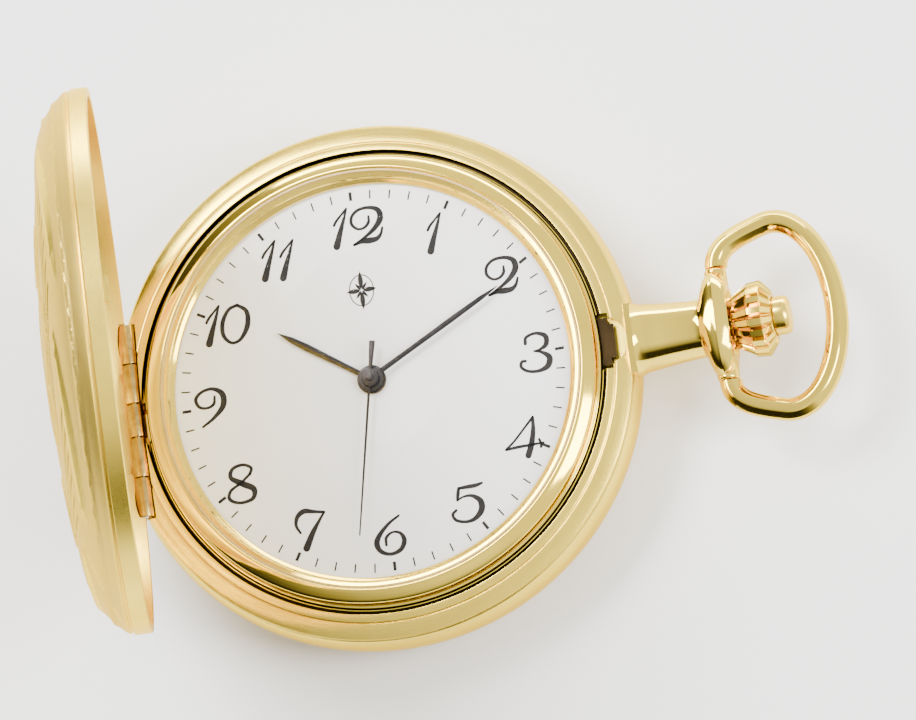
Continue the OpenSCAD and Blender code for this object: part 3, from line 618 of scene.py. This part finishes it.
def makeCover(look):
    lip = hingeAt[2] + 0.05
    rad = caseRad - 0.05
    crest = (0, lip + look["depth"] - look["wall"])
    shoulder = (17, lip + look["depth"] - 1.2 - look["wall"])
    inner = [crest] + arc(shoulder, crest, -0.3, 16)[-2::-1]
    inner += arc((rad - 0.9, lip + look["rim"] + 0.3), shoulder, -0.8, 16)[-2::-1]
    inner += [(rad - 0.78, lip + look["rim"] - 0.1)]
    shell = chasedShell(look, lip, rad, inner)
    hx, hz = hingeAt[0], hingeAt[2]
    carve(shell, [rod((hx, -8.85, hz), (hx, 8.85, hz), 0.85)], 40)
    shell.data.materials.append(goldBrushed)
    centres = np.array([tuple(face.center) for face in shell.data.polygons]) / mm
    leaf, half = leafAt(centres[:, :2], look)
    polished = (leaf > 0.05) & (half > 0.2) & (centres[:, 2] > lip + look["rim"] + 0.3)
    # rim band, inside and leaves are smoother than the chased dome
    for i, face in enumerate(shell.data.polygons):
        c = face.center / mm
        r = hypot(c.x, c.y)
        inward = face.normal.x * c.x + face.normal.y * c.y < 0
        inside = face.normal.z < -0.2 or (r < rad - 0.5 and inward)
        if c.z < lip + look["rim"] + 0.25 or inside or polished[i]:
            face.material_index = 1
    shell.data.transform(openedCover())
    fit(shell, "cover", "gold_plate", "front_cover")
    for low, high in ((-8.7, -5.2), (-1.45, 1.45), (5.2, 8.7)):
        tube = lathe(soften([(0.37, low), (0.75, low), (0.75, high), (0.37, high)], 0.08, True), 48)
        turned = [(hx + x, z, hz + y) for x, y, z in tube[0]]
        strap = block((hx - 1.3, low, lip), (hx - 0.05, high, lip + 0.6))
        # painted shade on the cover knuckles, through the darker hinge gold
        knuckle = onObject("coverKnuckle", *joined((turned, tube[1]), strap), goldHingeShaded)
        knuckle.data.transform(openedCover())
        fit(knuckle, "cover", "gold_plate")
    tongue = joined(block((21.85, -0.9, lip - 0.25), (22.45, 0.9, lip + 0.1)),
                    block((21.88, -0.88, lip + 0.02), (22.8, 0.88, lip + 0.75)),
                    block((21.5, -1.4, lip - 0.4), (22, 1.4, lip - 0.18)))
    catchTongue = onObject("coverTongue", *tongue, goldSoft)
    catchTongue.data.transform(openedCover())
    fit(catchTongue, "cover", "gold_plate")


makeCover(coverShape)
print("front cover chased")

backShape = {"foot": 9, "rise": 2.95, "rings": 120, "steps": 480,
             "scrolls": 6, "scrollRing": 14.6, "scrollSize": 2.5, "ridge": 0.08, "ridgeWide": 0.17,
             "cartouche": 10.3, "leafAt": 19.4, "leafLean": 1.2, "leafHalf": 0.6, "leafUp": 0.1,
             "gouges": 14, "gougeBend": 7, "gougeTo": 14, "gougeDeep": 0.05, "ropeAt": 21, "ropeUp": 0.08}


def makeBack(look):
    rad = caseRad - 0.6
    outer = [(0, 0), (look["foot"] * 0.5, 0), (look["foot"], 0)]
    outer += arc((look["foot"], 0), (rad, look["rise"]), -1.05, look["rings"])[1:]
    inner = arc((look["foot"] - 0.2, 0.7), (rad - 1.3, look["rise"] - 0.02), -0.85, 20)[::-1]
    inner += [(0, 0.7)]
    rim = [(rad - 0.08, look["rise"] + 0.02), (rad - 1.25, look["rise"] + 0.02)]
    verts, faces = lathe(outer + rim + inner, look["steps"], False)
    verts = np.array(verts)
    count = 1 + (len(outer) - 1) * look["steps"]
    part = verts[:count]
    r = np.sqrt((part[:, :2] ** 2).sum(axis=1))
    chased = engraving(part[:, :2].astype(np.float32), look)
    chased *= np.clip((r - look["foot"] - 0.3) / 0.6, 0, 1) * np.clip((rad - 1 - r) / 0.5, 0, 1)
    part[:, 2] -= chased
    verts[:count] = part
    back = onObject("backCover", [tuple(v) for v in verts], faces, goldSatin, 40)
    fit(back, "case", "gold_plate", "back_cover")


makeBack(backShape)

pendantShape = {"root": 3.3, "neck": 2.55, "headHalf": 4.98, "headHigh": 2.95, "ear": 0.98}


def makePendant(look):
    n, w, h = look["neck"], look["headHalf"], look["headHigh"]
    root = look["root"]
    out = [(22.7, root), (23.4, root), (23.7, root - 0.16), (24.1, root - 0.3), (25.0, n + 0.36),
           (26.4, n + 0.18), (28.4, n + 0.02), (29.3, n)]
    stations = [(x, r, r) for x, r in out]
    # the head is an oval cup: a flared back, a crisp edge, a sloping front and the crown's recess
    stations += [(29.42, n + 0.16, n + 0.05), (29.62, 3.45, 2.7), (29.95, 4.3, 2.83),
                 (30.35, w - 0.24, h - 0.04), (30.75, w - 0.05, h), (30.85, w, h + 0.02),
                 (30.97, w - 0.03, h), (31.5, w - 0.32, h - 0.16), (31.85, w - 0.75, h - 0.3),
                 (31.95, 3.3, 2.6), (31.9, 3.0, 2.48), (31.6, 2.66, 2.36), (31.25, 2.4, 2.2),
                 (31.2, 1.2, 1.1)]
    fine = []
    for a, b in zip(stations, stations[1:]):
        fine += [tuple(a[i] * (1 - t) + b[i] * t for i in range(3)) for t in (0, 0.5)]
    fine.append(stations[-1])
    verts, faces = loft(fine, 128)
    pendant = onObject("pendant", [(x, y, z + stemZ) for x, y, z in verts], faces, goldMirror, 36)
    r = look["ear"]
    ears = []
    for side in (-1, 1):
        ear = soften([(0, 3.4), (r, 3.4), (r, 4.86), (r - 0.14, 5.02), (0, 5.02)], 0.1)
        tube = lathe(ear, 48, False)
        ears.append(([(bowX + x, side * z, stemZ + y) for x, y, z in tube[0]], tube[1]))
    carve(pendant, ears, 36, "UNION")
    cup = [(31.3, 0), (31.3, 2.1), (31.6, 2.3), (33, 2.62), (33, 0)]
    hollow = lathe([(q, x) for x, q in cup], 64, False)
    reach = caseRad + 0.06  # the shut cover passes over the root inside this
    coverRoom = lathe([(0, hingeAt[2]), (reach, hingeAt[2]), (reach, 14), (0, 14)], 256, False)
    carve(pendant, [([(z, x, y + stemZ) for x, y, z in hollow[0]], hollow[1]), coverRoom], 36)
    fit(pendant, "case", "gold_plate", "pendant")


makePendant(pendantShape)

crownShape = {"ribs": 20, "face": 0.27, "groove": 0.8, "boreFrom": 2.4, "boreRad": 1.76,
              "rows": [(0, 2.1), (0.1, 2.3), (1.5, 3.12), (1.56, 3.2), (1.62, 3.24), (2.66, 3.34),
                       (2.72, 3.34), (2.8, 3.28), (3.5, 2.42), (3.58, 2.25), (3.6, 2.0)]}


def makeCrown(look):
    x0 = crownBox[0][0]
    step = 2 * pi / look["ribs"]
    verts = []
    faces = []
    count = look["ribs"] * 4
    for x, r in look["rows"]:
        deep = look["groove"] if 1 < x < 3.4 else 0.9
        for k in range(look["ribs"]):
            for turn, q in ((-look["face"], 1), (look["face"], 1), (0.47, deep), (0.53, deep)):
                a = (k + turn) * step
                verts.append((x0 + x, r * q * cos(a), stemZ + r * q * sin(a)))
    for i in range(len(look["rows"]) - 1):
        for k in range(count):
            m = (k + 1) % count
            faces.append((i * count + k, i * count + m, (i + 1) * count + m, (i + 1) * count + k))
    faces.append(tuple(range(count)))
    faces.append(tuple((len(look["rows"]) - 1) * count + k for k in range(count)))
    crown = onObject("crownFlutes", verts, faces, goldMirror, 12)
    bore = rod((x0 + look["boreFrom"], 0, stemZ), (x0 + 5, 0, stemZ), look["boreRad"])
    carve(crown, [bore], 12)
    fit(crown, "crown_stem", "gold_plate", "crown")


makeCrown(crownShape)


buttonShape = {"foot": 35.7, "radius": 1.7}


def makeButton(look):
    end = buttonBox[1][0]
    foot, r = look["foot"], look["radius"]
    profile = soften([(0, foot), (r, foot), (r, end - 0.42), (1.52, end - 0.12), (1.2, end), (0, end)], 0.1)
    verts, faces = lathe(profile, 96, False)
    button = onObject("releaseButton", [(z, x, y + stemZ) for x, y, z in verts], faces, goldSoft)
    fit(button, "button", "gold_plate", "release_button")


makeButton(buttonShape)

bowShape = {"wide": 9.45, "long": 5.8, "reach": 11.1, "band": 0.98, "thick": 0.93, "endHalf": 5.12,
            "flat": 0.4, "side": 0.34}


def makeBow(look):
    mid = look["reach"] - look["long"]
    a, b = look["wide"] - look["band"], look["long"] - look["band"]
    # one side of the loop, from the far end round to the ear
    half = [(mid + b * cos(q), a * sin(q)) for q in np.linspace(0, 1.75, 54)]
    last = Vector(half[-1])
    heading = (last - Vector(half[-2])).normalized()
    foot = Vector((0.15, look["endHalf"]))
    for t in np.linspace(0.04, 1, 26):
        c1 = last + heading * 2.7
        c2 = foot + Vector((0, 1.8))
        p = last * (1 - t) ** 3 + c1 * 3 * t * (1 - t) ** 2 + c2 * 3 * t * t * (1 - t) + foot * t ** 3
        half.append((p.x, p.y))
    path = [(x, -y) for x, y in half[::-1]] + half[1:]
    w, t, flat, side = look["band"], look["thick"], look["flat"], look["side"]
    section = soften([(w, side * t), (flat * w, t), (-flat * w, t), (-w, side * t), (-w, -side * t),
                      (-flat * w, -t), (flat * w, -t), (w, -side * t)], 0.14, True, 3)
    n = len(section)
    verts = []
    faces = []
    for i, p in enumerate(path):
        ahead = Vector(path[min(i + 1, len(path) - 1)]) - Vector(path[max(i - 1, 0)])
        out = Vector((ahead.y, -ahead.x)).normalized()
        if i in (0, len(path) - 1):
            out = Vector((-1, 0))
        verts += [(p[0] + out.x * s, p[1] + out.y * s, u) for s, u in section]
    for k in range(len(path) - 1):
        for i in range(n):
            m = (i + 1) % n
            faces.append((k * n + i, k * n + m, (k + 1) * n + m, (k + 1) * n + i))
    faces.append(tuple(range(n)))
    faces.append(tuple((len(path) - 1) * n + i for i in range(n)))
    place = Matrix.Translation(Vector((bowX, 0, stemZ)) * mm)
    bow = onObject("bow", verts, faces, goldMirror, 34, place)
    fit(bow, "bow_ring", "gold_plate", "bow")


makeBow(bowShape)
print("case, pendant, crown and bow ready")

# strokes of each dial figure, drawn one unit high: x, y and line width, as a broad pen leaves it
penStrokes = {
    "0": [[(0.05, 0.5, 0.07), (-0.18, 0.38, 0.08), (-0.33, 0.05, 0.1), (-0.3, -0.3, 0.09),
           (-0.08, -0.5, 0.07), (0.16, -0.4, 0.08), (0.33, -0.05, 0.12), (0.3, 0.32, 0.1), (0.05, 0.5, 0.07)]],
    "1": [[(-0.18, 0.06, 0.06), (-0.12, 0.18, 0.06), (0.0, 0.33, 0.05), (0.14, 0.5, 0.05)],
          [(0.14, 0.5, 0.04), (0.06, 0.15, 0.08), (-0.02, -0.15, 0.12), (-0.1, -0.5, 0.16)]],
    "2": [[(0.03, 0.27, 0.05), (0.03, 0.1, 0.07), (-0.08, -0.03, 0.06), (-0.25, -0.06, 0.06),
           (-0.41, 0.07, 0.07), (-0.41, 0.28, 0.07), (-0.24, 0.45, 0.07), (0.05, 0.5, 0.08),
           (0.28, 0.42, 0.12), (0.34, 0.2, 0.14), (0.2, -0.05, 0.11), (-0.05, -0.28, 0.07),
           (-0.34, -0.48, 0.05)],
          [(-0.34, -0.48, 0.06), (-0.15, -0.4, 0.1), (0.05, -0.38, 0.14), (0.25, -0.34, 0.11),
           (0.36, -0.22, 0.07), (0.4, -0.05, 0.05)]],
    "3": [[(-0.28, 0.24, 0.08), (-0.26, 0.4, 0.07), (-0.02, 0.5, 0.07), (0.24, 0.42, 0.11),
           (0.26, 0.2, 0.11), (0.1, 0.07, 0.06), (-0.05, 0.03, 0.04)],
          [(-0.05, 0.03, 0.04), (0.14, 0.0, 0.07), (0.35, -0.14, 0.13), (0.31, -0.37, 0.13),
           (0.08, -0.49, 0.08), (-0.2, -0.49, 0.07), (-0.38, -0.38, 0.07), (-0.37, -0.24, 0.07),
           (-0.27, -0.22, 0.06)]],
    "4": [[(0.27, 0.5, 0.06), (0.05, 0.22, 0.05), (-0.2, -0.1, 0.05), (-0.42, -0.33, 0.06)],
          [(-0.42, -0.33, 0.06), (-0.1, -0.27, 0.07), (0.2, -0.23, 0.06), (0.55, -0.18, 0.05)],
          [(0.27, 0.5, 0.06), (0.28, 0.15, 0.1), (0.24, -0.2, 0.13), (0.16, -0.5, 0.14)],
          [(0.44, -0.09, 0.06), (0.48, -0.18, 0.05), (0.49, -0.29, 0.06)]],
    "5": [[(0.37, 0.5, 0.05), (0.2, 0.44, 0.09), (-0.02, 0.41, 0.09), (-0.24, 0.38, 0.06)],
          [(-0.24, 0.38, 0.07), (-0.26, 0.22, 0.08), (-0.27, 0.07, 0.06)],
          [(-0.27, 0.07, 0.04), (-0.1, 0.16, 0.05), (0.12, 0.17, 0.08), (0.33, 0.03, 0.13),
           (0.36, -0.2, 0.14), (0.2, -0.42, 0.1), (-0.04, -0.5, 0.07), (-0.3, -0.45, 0.07),
           (-0.39, -0.3, 0.07), (-0.3, -0.19, 0.06)]],
    "6": [[(0.2, 0.5, 0.05), (-0.05, 0.31, 0.07), (-0.27, 0.05, 0.1), (-0.37, -0.2, 0.13),
           (-0.26, -0.42, 0.1), (0.0, -0.5, 0.08), (0.26, -0.39, 0.1), (0.35, -0.15, 0.11),
           (0.24, 0.04, 0.07), (0.04, 0.07, 0.05), (-0.12, -0.06, 0.07), (-0.12, -0.26, 0.06)]],
    "7": [[(-0.24, -0.1, 0.05), (-0.36, 0.1, 0.07), (-0.33, 0.33, 0.1), (-0.16, 0.47, 0.12),
           (0.1, 0.45, 0.08), (0.37, 0.43, 0.06)],
          [(0.37, 0.43, 0.05), (0.24, 0.2, 0.07), (0.08, -0.1, 0.12), (-0.08, -0.5, 0.16)]],
    "8": [[(0.19, 0.25, 0.07), (0.22, 0.41, 0.07), (0.0, 0.5, 0.07), (-0.27, 0.4, 0.08), (-0.31, 0.17, 0.1),
           (0.0, 0.0, 0.14), (0.3, -0.15, 0.13), (0.27, -0.4, 0.09), (-0.06, -0.5, 0.07),
           (-0.33, -0.4, 0.08), (-0.31, -0.18, 0.07), (-0.05, 0.02, 0.06), (0.19, 0.25, 0.06)]],
    "9": [[(0.12, 0.3, 0.05), (0.1, 0.1, 0.07), (-0.06, 0.0, 0.06), (-0.28, 0.03, 0.07), (-0.38, 0.24, 0.08),
           (-0.22, 0.43, 0.07), (0.06, 0.5, 0.08), (0.32, 0.36, 0.13), (0.35, 0.05, 0.13),
           (0.12, -0.26, 0.08), (-0.18, -0.5, 0.05)]],
}


def smoothStroke(points, per=9):
    # a curve through every point, with the line width carried along
    pts = [np.array(p) for p in points]
    pts = [2 * pts[0] - pts[1]] + pts + [2 * pts[-1] - pts[-2]]
    out = []
    for i in range(1, len(pts) - 2):
        for k in range(per):
            t = k / per
            a, b, c, d = pts[i - 1:i + 3]
            out.append(0.5 * (2 * b + (c - a) * t + (2 * a - 5 * b + 4 * c - d) * t ** 2
                              + (3 * b - a - 3 * c + d) * t ** 3))
    out.append(pts[-2])
    return out


def inkLine(points, low, high, round=True):
    # a flat raised ribbon with round ends
    pts = [np.array(p, dtype=float) for p in points]
    if round:
        head = pts[0][:2] - pts[1][:2]
        head /= np.linalg.norm(head)
        tail = pts[-1][:2] - pts[-2][:2]
        tail /= np.linalg.norm(tail)
        capA = [np.array([*(pts[0][:2] + head * pts[0][2] / 2 * sin(q)), pts[0][2] * cos(q)])
                for q in (1.45, 1.1, 0.7, 0.35)]
        capB = [np.array([*(pts[-1][:2] + tail * pts[-1][2] / 2 * sin(q)), pts[-1][2] * cos(q)])
                for q in (0.35, 0.7, 1.1, 1.45)]
        pts = capA + pts + capB
    verts = []
    for i, p in enumerate(pts):
        along = pts[min(i + 1, len(pts) - 1)][:2] - pts[max(i - 1, 0)][:2]
        along /= max(np.linalg.norm(along), 1e-9)
        side = np.array([-along[1], along[0]]) * p[2] / 2
        for z in (low, high):
            verts.append((p[0] + side[0], p[1] + side[1], z))
            verts.append((p[0] - side[0], p[1] - side[1], z))
    faces = []
    for i in range(len(pts) - 1):
        a, b = i * 4, i * 4 + 4
        faces += [(a, a + 1, b + 1, b), (a + 2, b + 2, b + 3, a + 3), (a, b, b + 2, a + 2),
                  (a + 1, a + 3, b + 3, b + 1)]
    last = (len(pts) - 1) * 4
    faces += [(0, 2, 3, 1), (last, last + 1, last + 3, last + 2)]
    return verts, faces


dialShape = {"radius": 18.45, "thick": 0.4, "ink": 0.02, "figureHigh": 3.4, "figureRing": 14.35,
             "figureShift": 0.35, "lean": 7, "tickFrom": 16.4, "tickTo": 17.2, "tickWide": 0.13,
             "hourTick": 0.27, "penWide": 1.18}


def makeDial(look):
    low, high = dialTop - look["thick"], dialTop
    hole, rad = 1.25, look["radius"]
    plate = soften([(hole, low), (rad, low), (rad, high), (hole, high)], 0.04, True)
    verts, faces = lathe(plate, 256)
    fit(onObject("dialPlate", verts, faces, dialWhite), "case", "dial", "dial")
    inkLow, inkHigh = high - 0.01, high + look["ink"]
    shapes = []
    for i in range(60):
        a = pi / 2 - 2 * pi * i / 60
        wide = look["hourTick"] if i % 5 == 0 else look["tickWide"]
        ends = [(r * cos(a), r * sin(a), wide) for r in (look["tickFrom"], look["tickTo"])]
        shapes.append(inkLine(ends, inkLow, inkHigh, False))
    fit(onObject("minuteTrack", *joined(*shapes), inkGrey, 30), "case", "hand_grey")
    shapes = []
    lean = radians(-look["lean"])
    for hour in range(1, 13):
        a = pi / 2 - 2 * pi * hour / 12
        ring = look["figureRing"] - look["figureShift"] * cos(2 * a + pi)
        text = str(hour)
        for j, figure in enumerate(text):
            gap = {"10": 0.58, "11": 0.48, "12": 0.7}.get(text, 0)
            shift = (j - 0.5 * (len(text) - 1)) * gap
            for stroke in penStrokes[figure]:
                pts = []
                for x, y, w in smoothStroke(stroke):
                    u, v = x + shift, y
                    px = (u * cos(lean) - v * sin(lean)) * look["figureHigh"]
                    py = (u * sin(lean) + v * cos(lean)) * look["figureHigh"]
                    pen = w * look["penWide"] * look["figureHigh"]
                    pts.append((ring * cos(a) + px, ring * sin(a) + py, pen))
                shapes.append(inkLine(pts, inkLow, inkHigh))
    fit(onObject("dialFigures", *joined(*shapes), inkGrey, 30), "case", "hand_grey")


makeDial(dialShape)

ornamentShape = {"at": 8.2, "high": 1.75, "wide": 1.35}


def makeOrnament(look):
    # a plain flower with a ring, four long leaves and four short
    low, high = dialTop - 0.01, dialTop + 0.02
    shapes = []
    for k in range(8):
        a = pi / 2 + k * pi / 4
        size = 1.0 if k % 2 == 0 else 0.55
        pts = []
        for t in np.linspace(0.12, 1, 14):
            wide = 0.42 * sin(pi * min(t * 1.02, 1)) * size + 0.02
            far = t * size
            pts.append((cos(a) * far * look["wide"], look["at"] + sin(a) * far * look["high"], wide))
        shapes.append(inkLine(pts, low, high, False))
    ring = [(cos(a) * look["wide"] * 0.8, look["at"] + sin(a) * look["high"] * 0.8, 0.09)
            for a in np.linspace(0, 2 * pi, 49)]
    shapes.append(inkLine(ring, low, high, False))
    fit(onObject("dialFlower", *joined(*shapes), inkGrey, 30), "case", "hand_grey")


makeOrnament(ornamentShape)

def handShape(outline, low, thick, ridge):
    # outline is [distance, half width]; the top rises to a ridge along the middle
    verts = []
    for y, w in outline:
        top = low + thick
        verts += [(-w, y, low), (w, y, low), (-w, y, top), (0, y, top + ridge), (w, y, top)]
    faces = []
    for i in range(len(outline) - 1):
        a, b = i * 5, i * 5 + 5
        for p, q in ((0, 1), (1, 4), (4, 3), (3, 2), (2, 0)):
            faces.append((a + p, a + q, b + q, b + p))
    last = (len(outline) - 1) * 5
    faces += [(0, 2, 3, 4, 1), (last, last + 1, last + 4, last + 3, last + 2)]
    return verts, faces


def handTurn(node):
    # a hand points to the corner of its box that lies farthest from the middle
    low, high = nodeBox(node)
    x, y = (max(pair, key=abs) for pair in zip(low[:2], high[:2]))
    return -atan2(x, y)


handLook = {"hourLong": 9.6, "minuteLong": 13.7, "secondLong": 14.1, "secondTail": 3.3}


def makeHands(look):
    secondLow = nodeBox("second_hand")[0]
    turnHour, turnMinute = handTurn("hour_hand"), handTurn("minute_hand")
    turnSecond = -atan2(secondLow[0] + 0.05, secondLow[1])
    hourZ = nodeBox("hour_hand")[0][2] + 0.02
    minuteZ = nodeBox("minute_hand")[0][2] + 0.02
    secondZ = nodeBox("second_hand")[0][2] + 0.05
    hour = handShape([(0, 0.24), (2.5, 0.25), (6.6, 0.33), (8.2, 0.26), (look["hourLong"], 0.02)],
                     hourZ, 0.06, 0.08)
    minute = handShape([(0, 0.24), (4, 0.22), (9, 0.25), (12, 0.2), (look["minuteLong"], 0.03)],
                       minuteZ, 0.06, 0.07)
    second = handShape([(-look["secondTail"], 0.27), (-1.0, 0.17), (0, 0.11), (8, 0.09),
                        (look["secondLong"], 0.06)], secondZ, 0.06, 0.03)

    def hub(r, low, high, hole=0):
        outline = soften([(hole, low), (r, low), (r, high), (hole, high)], 0.06, hole > 0)
        return lathe(outline, 64, hole > 0)

    hourHub = hub(1.28, hourZ, hourZ + 0.12, 0.75)
    minuteHub = hub(1.12, minuteZ, minuteZ + 0.13, 0.3)
    secondHub = hub(0.8, secondZ - 0.04, secondZ + 0.12)
    pin = hub(0.34, secondZ + 0.1, secondZ + 0.24)

    hands = [("hourHand", (hour, hourHub), turnHour, "hours", "hour_hand"),
             ("minuteHand", (minute, minuteHub), turnMinute, "minutes", "minute_hand"),
             ("secondHand", (second, secondHub, pin), turnSecond, "seconds", "second_hand")]
    for name, shapes, turn, body, node in hands:
        verts, faces = joined(*shapes)
        s, c = sin(turn), cos(turn)
        hand = onObject(name, [(x * c - y * s, x * s + y * c, z) for x, y, z in verts], faces, handGrey, 20)
        fit(hand, body, "hand_grey", node)


makeHands(handLook)
print("dial and hands ready")

# finishes of the parts that keep their own shape, by material slot and then by name
finishes = {"gold_plate": goldSoft, "brass": gilt, "steel": steelBright, "nickel": nickelStriped,
            "dial": dialWhite, "hand_grey": handGrey, "crystal": clearCrystal, "gasket": gasketHoney,
            "ruby": rubyRed}
# painted shade: the lock catch takes the near-black gap material, as it sits down in the dark slot
special = {"bridge_screws": blueSteel, "hairspring": blueSteel, "lift_spring": gilt,
           "lock_catch": paintedGapShade}


def finishFrame():
    slots = {s["node"]: s["material_slot"] for s in frame["record"]["subparts"]}
    for name, obj in frame["nodes"].items():
        mat = special.get(name, finishes[slots[name]])
        for s in obj.material_slots:
            s.material = mat


finishFrame()

# round holds how bright the studio is near the horizon, by direction in degrees
stageLook = {"floor": 1.2, "sky": 1.6, "keyPower": 6.5, "fillPower": 3.5, "stripPower": 3,
             "bandFrom": 0.4, "bandTo": 0.78, "shadeSide": 0.12,
             "round": [(-180, 0.03), (-150, 0.02), (-95, 0.015), (-62, 0.03), (-42, 2), (0, 3.4),
                       (60, 3.6), (92, 3), (114, 0.03), (150, 0.015), (180, 0.03)]}


def makeStage(look):
    size = look["floor"] / mm
    verts = [(-size, -size, 0), (size, -size, 0), (size, size, 0), (-size, size, 0)]
    mat = paint("paleFloor", {"tint": (0.98, 0.98, 0.98), "deep": (0.97, 0.97, 0.97), "patch": 0.01,
                              "fine": 0.5, "rough": 0.6, "depth": 0.02})
    floor = onObject("floor", verts, [(0, 1, 2, 3)], mat)

    def lamp(name, place, aim, size, power):
        data = bpy.data.lights.new(name, "AREA")
        data.shape = "RECTANGLE"
        data.size, data.size_y = size
        data.energy = power
        obj = bpy.data.objects.new(name, data)
        bpy.context.collection.objects.link(obj)
        obj.location = place
        obj.rotation_euler = (Vector(aim) - Vector(place)).to_track_quat("-Z", "Y").to_euler()

    lamp("keyPanel", (-0.25, 0.2, 0.5), (0, 0, 0), (0.35, 0.25), look["keyPower"])
    lamp("backStrip", (0.05, 0.42, 0.07), (0, 0, 0.008), (0.5, 0.09), look["stripPower"])
    lamp("fillPanel", (0.4, -0.1, 0.35), (0.01, 0, 0), (0.2, 0.3), look["fillPower"])
    world = bpy.data.worlds.new("studio")
    bpy.context.scene.world = world
    world.use_nodes = True
    tree = world.node_tree
    back = tree.nodes["Background"]
    back.inputs["Strength"].default_value = look["sky"]
    coords = tree.nodes.new("ShaderNodeTexCoord")
    parts = tree.nodes.new("ShaderNodeSeparateXYZ")
    tree.links.new(coords.outputs["Generated"], parts.inputs[0])
    around = tree.nodes.new("ShaderNodeMath")
    around.operation = "ARCTAN2"
    tree.links.new(parts.outputs["Y"], around.inputs[0])
    tree.links.new(parts.outputs["X"], around.inputs[1])
    # low round the horizon the studio is dark behind the camera and beyond the cover
    sides = tree.nodes.new("ShaderNodeValToRGB")
    sides.color_ramp.interpolation = "B_SPLINE"
    share = spread(tree, around.outputs["Value"], 0, 1, -pi, pi)
    tree.links.new(share, sides.inputs["Fac"])
    stops = sides.color_ramp.elements
    for i, (degrees, level) in enumerate(look["round"]):
        ends = {0: stops[0], len(look["round"]) - 1: stops[-1]}
        stop = ends[i] if i in ends else stops.new((degrees + 180) / 360)
        stop.color = (level, level * 0.97, level * 0.92, 1)
    lift = spread(tree, parts.outputs["Z"], 0, 1, look["bandFrom"], look["bandTo"])
    mix = tree.nodes.new("ShaderNodeMix")
    mix.data_type = "RGBA"
    # overhead the light falls off towards the cover's side
    overhead = spread(tree, parts.outputs["X"], look["shadeSide"], 1, -0.7, 0.1)
    tree.links.new(overhead, mix.inputs["B"])
    tree.links.new(lift, mix.inputs["Factor"])
    tree.links.new(sides.outputs["Color"], mix.inputs["A"])
    tree.links.new(mix.outputs["Result"], back.inputs["Color"])


makeStage(stageLook)

viewLook = {"azimuth": 34.49, "elevation": 72.05, "roll": -42.87, "distance": 700, "lens": 314.9,
            "aim": (7.55, 0.81, -1.17)}


def makeCamera(look):
    az, el, roll = (radians(look[k]) for k in ("azimuth", "elevation", "roll"))
    away = Vector((cos(el) * sin(az), -cos(el) * cos(az), sin(el)))
    right = Vector((0, 0, 1)).cross(away).normalized()
    up = away.cross(right)
    side = right * cos(roll) + up * sin(roll)
    over = up * cos(roll) - right * sin(roll)
    aim = Vector(look["aim"]) + Vector((0, 0, dialTop))
    turn = Matrix((side, over, away)).transposed().to_4x4()
    data = bpy.data.cameras.new("camera")
    data.lens = look["lens"]
    data.sensor_width = 36
    data.clip_start = 0.01
    camera = bpy.data.objects.new("camera", data)
    bpy.context.collection.objects.link(camera)
    camera.matrix_world = Matrix.Translation((aim + away * look["distance"]) * mm) @ turn
    bpy.context.scene.camera = camera


makeCamera(viewLook)
print("stage ready")
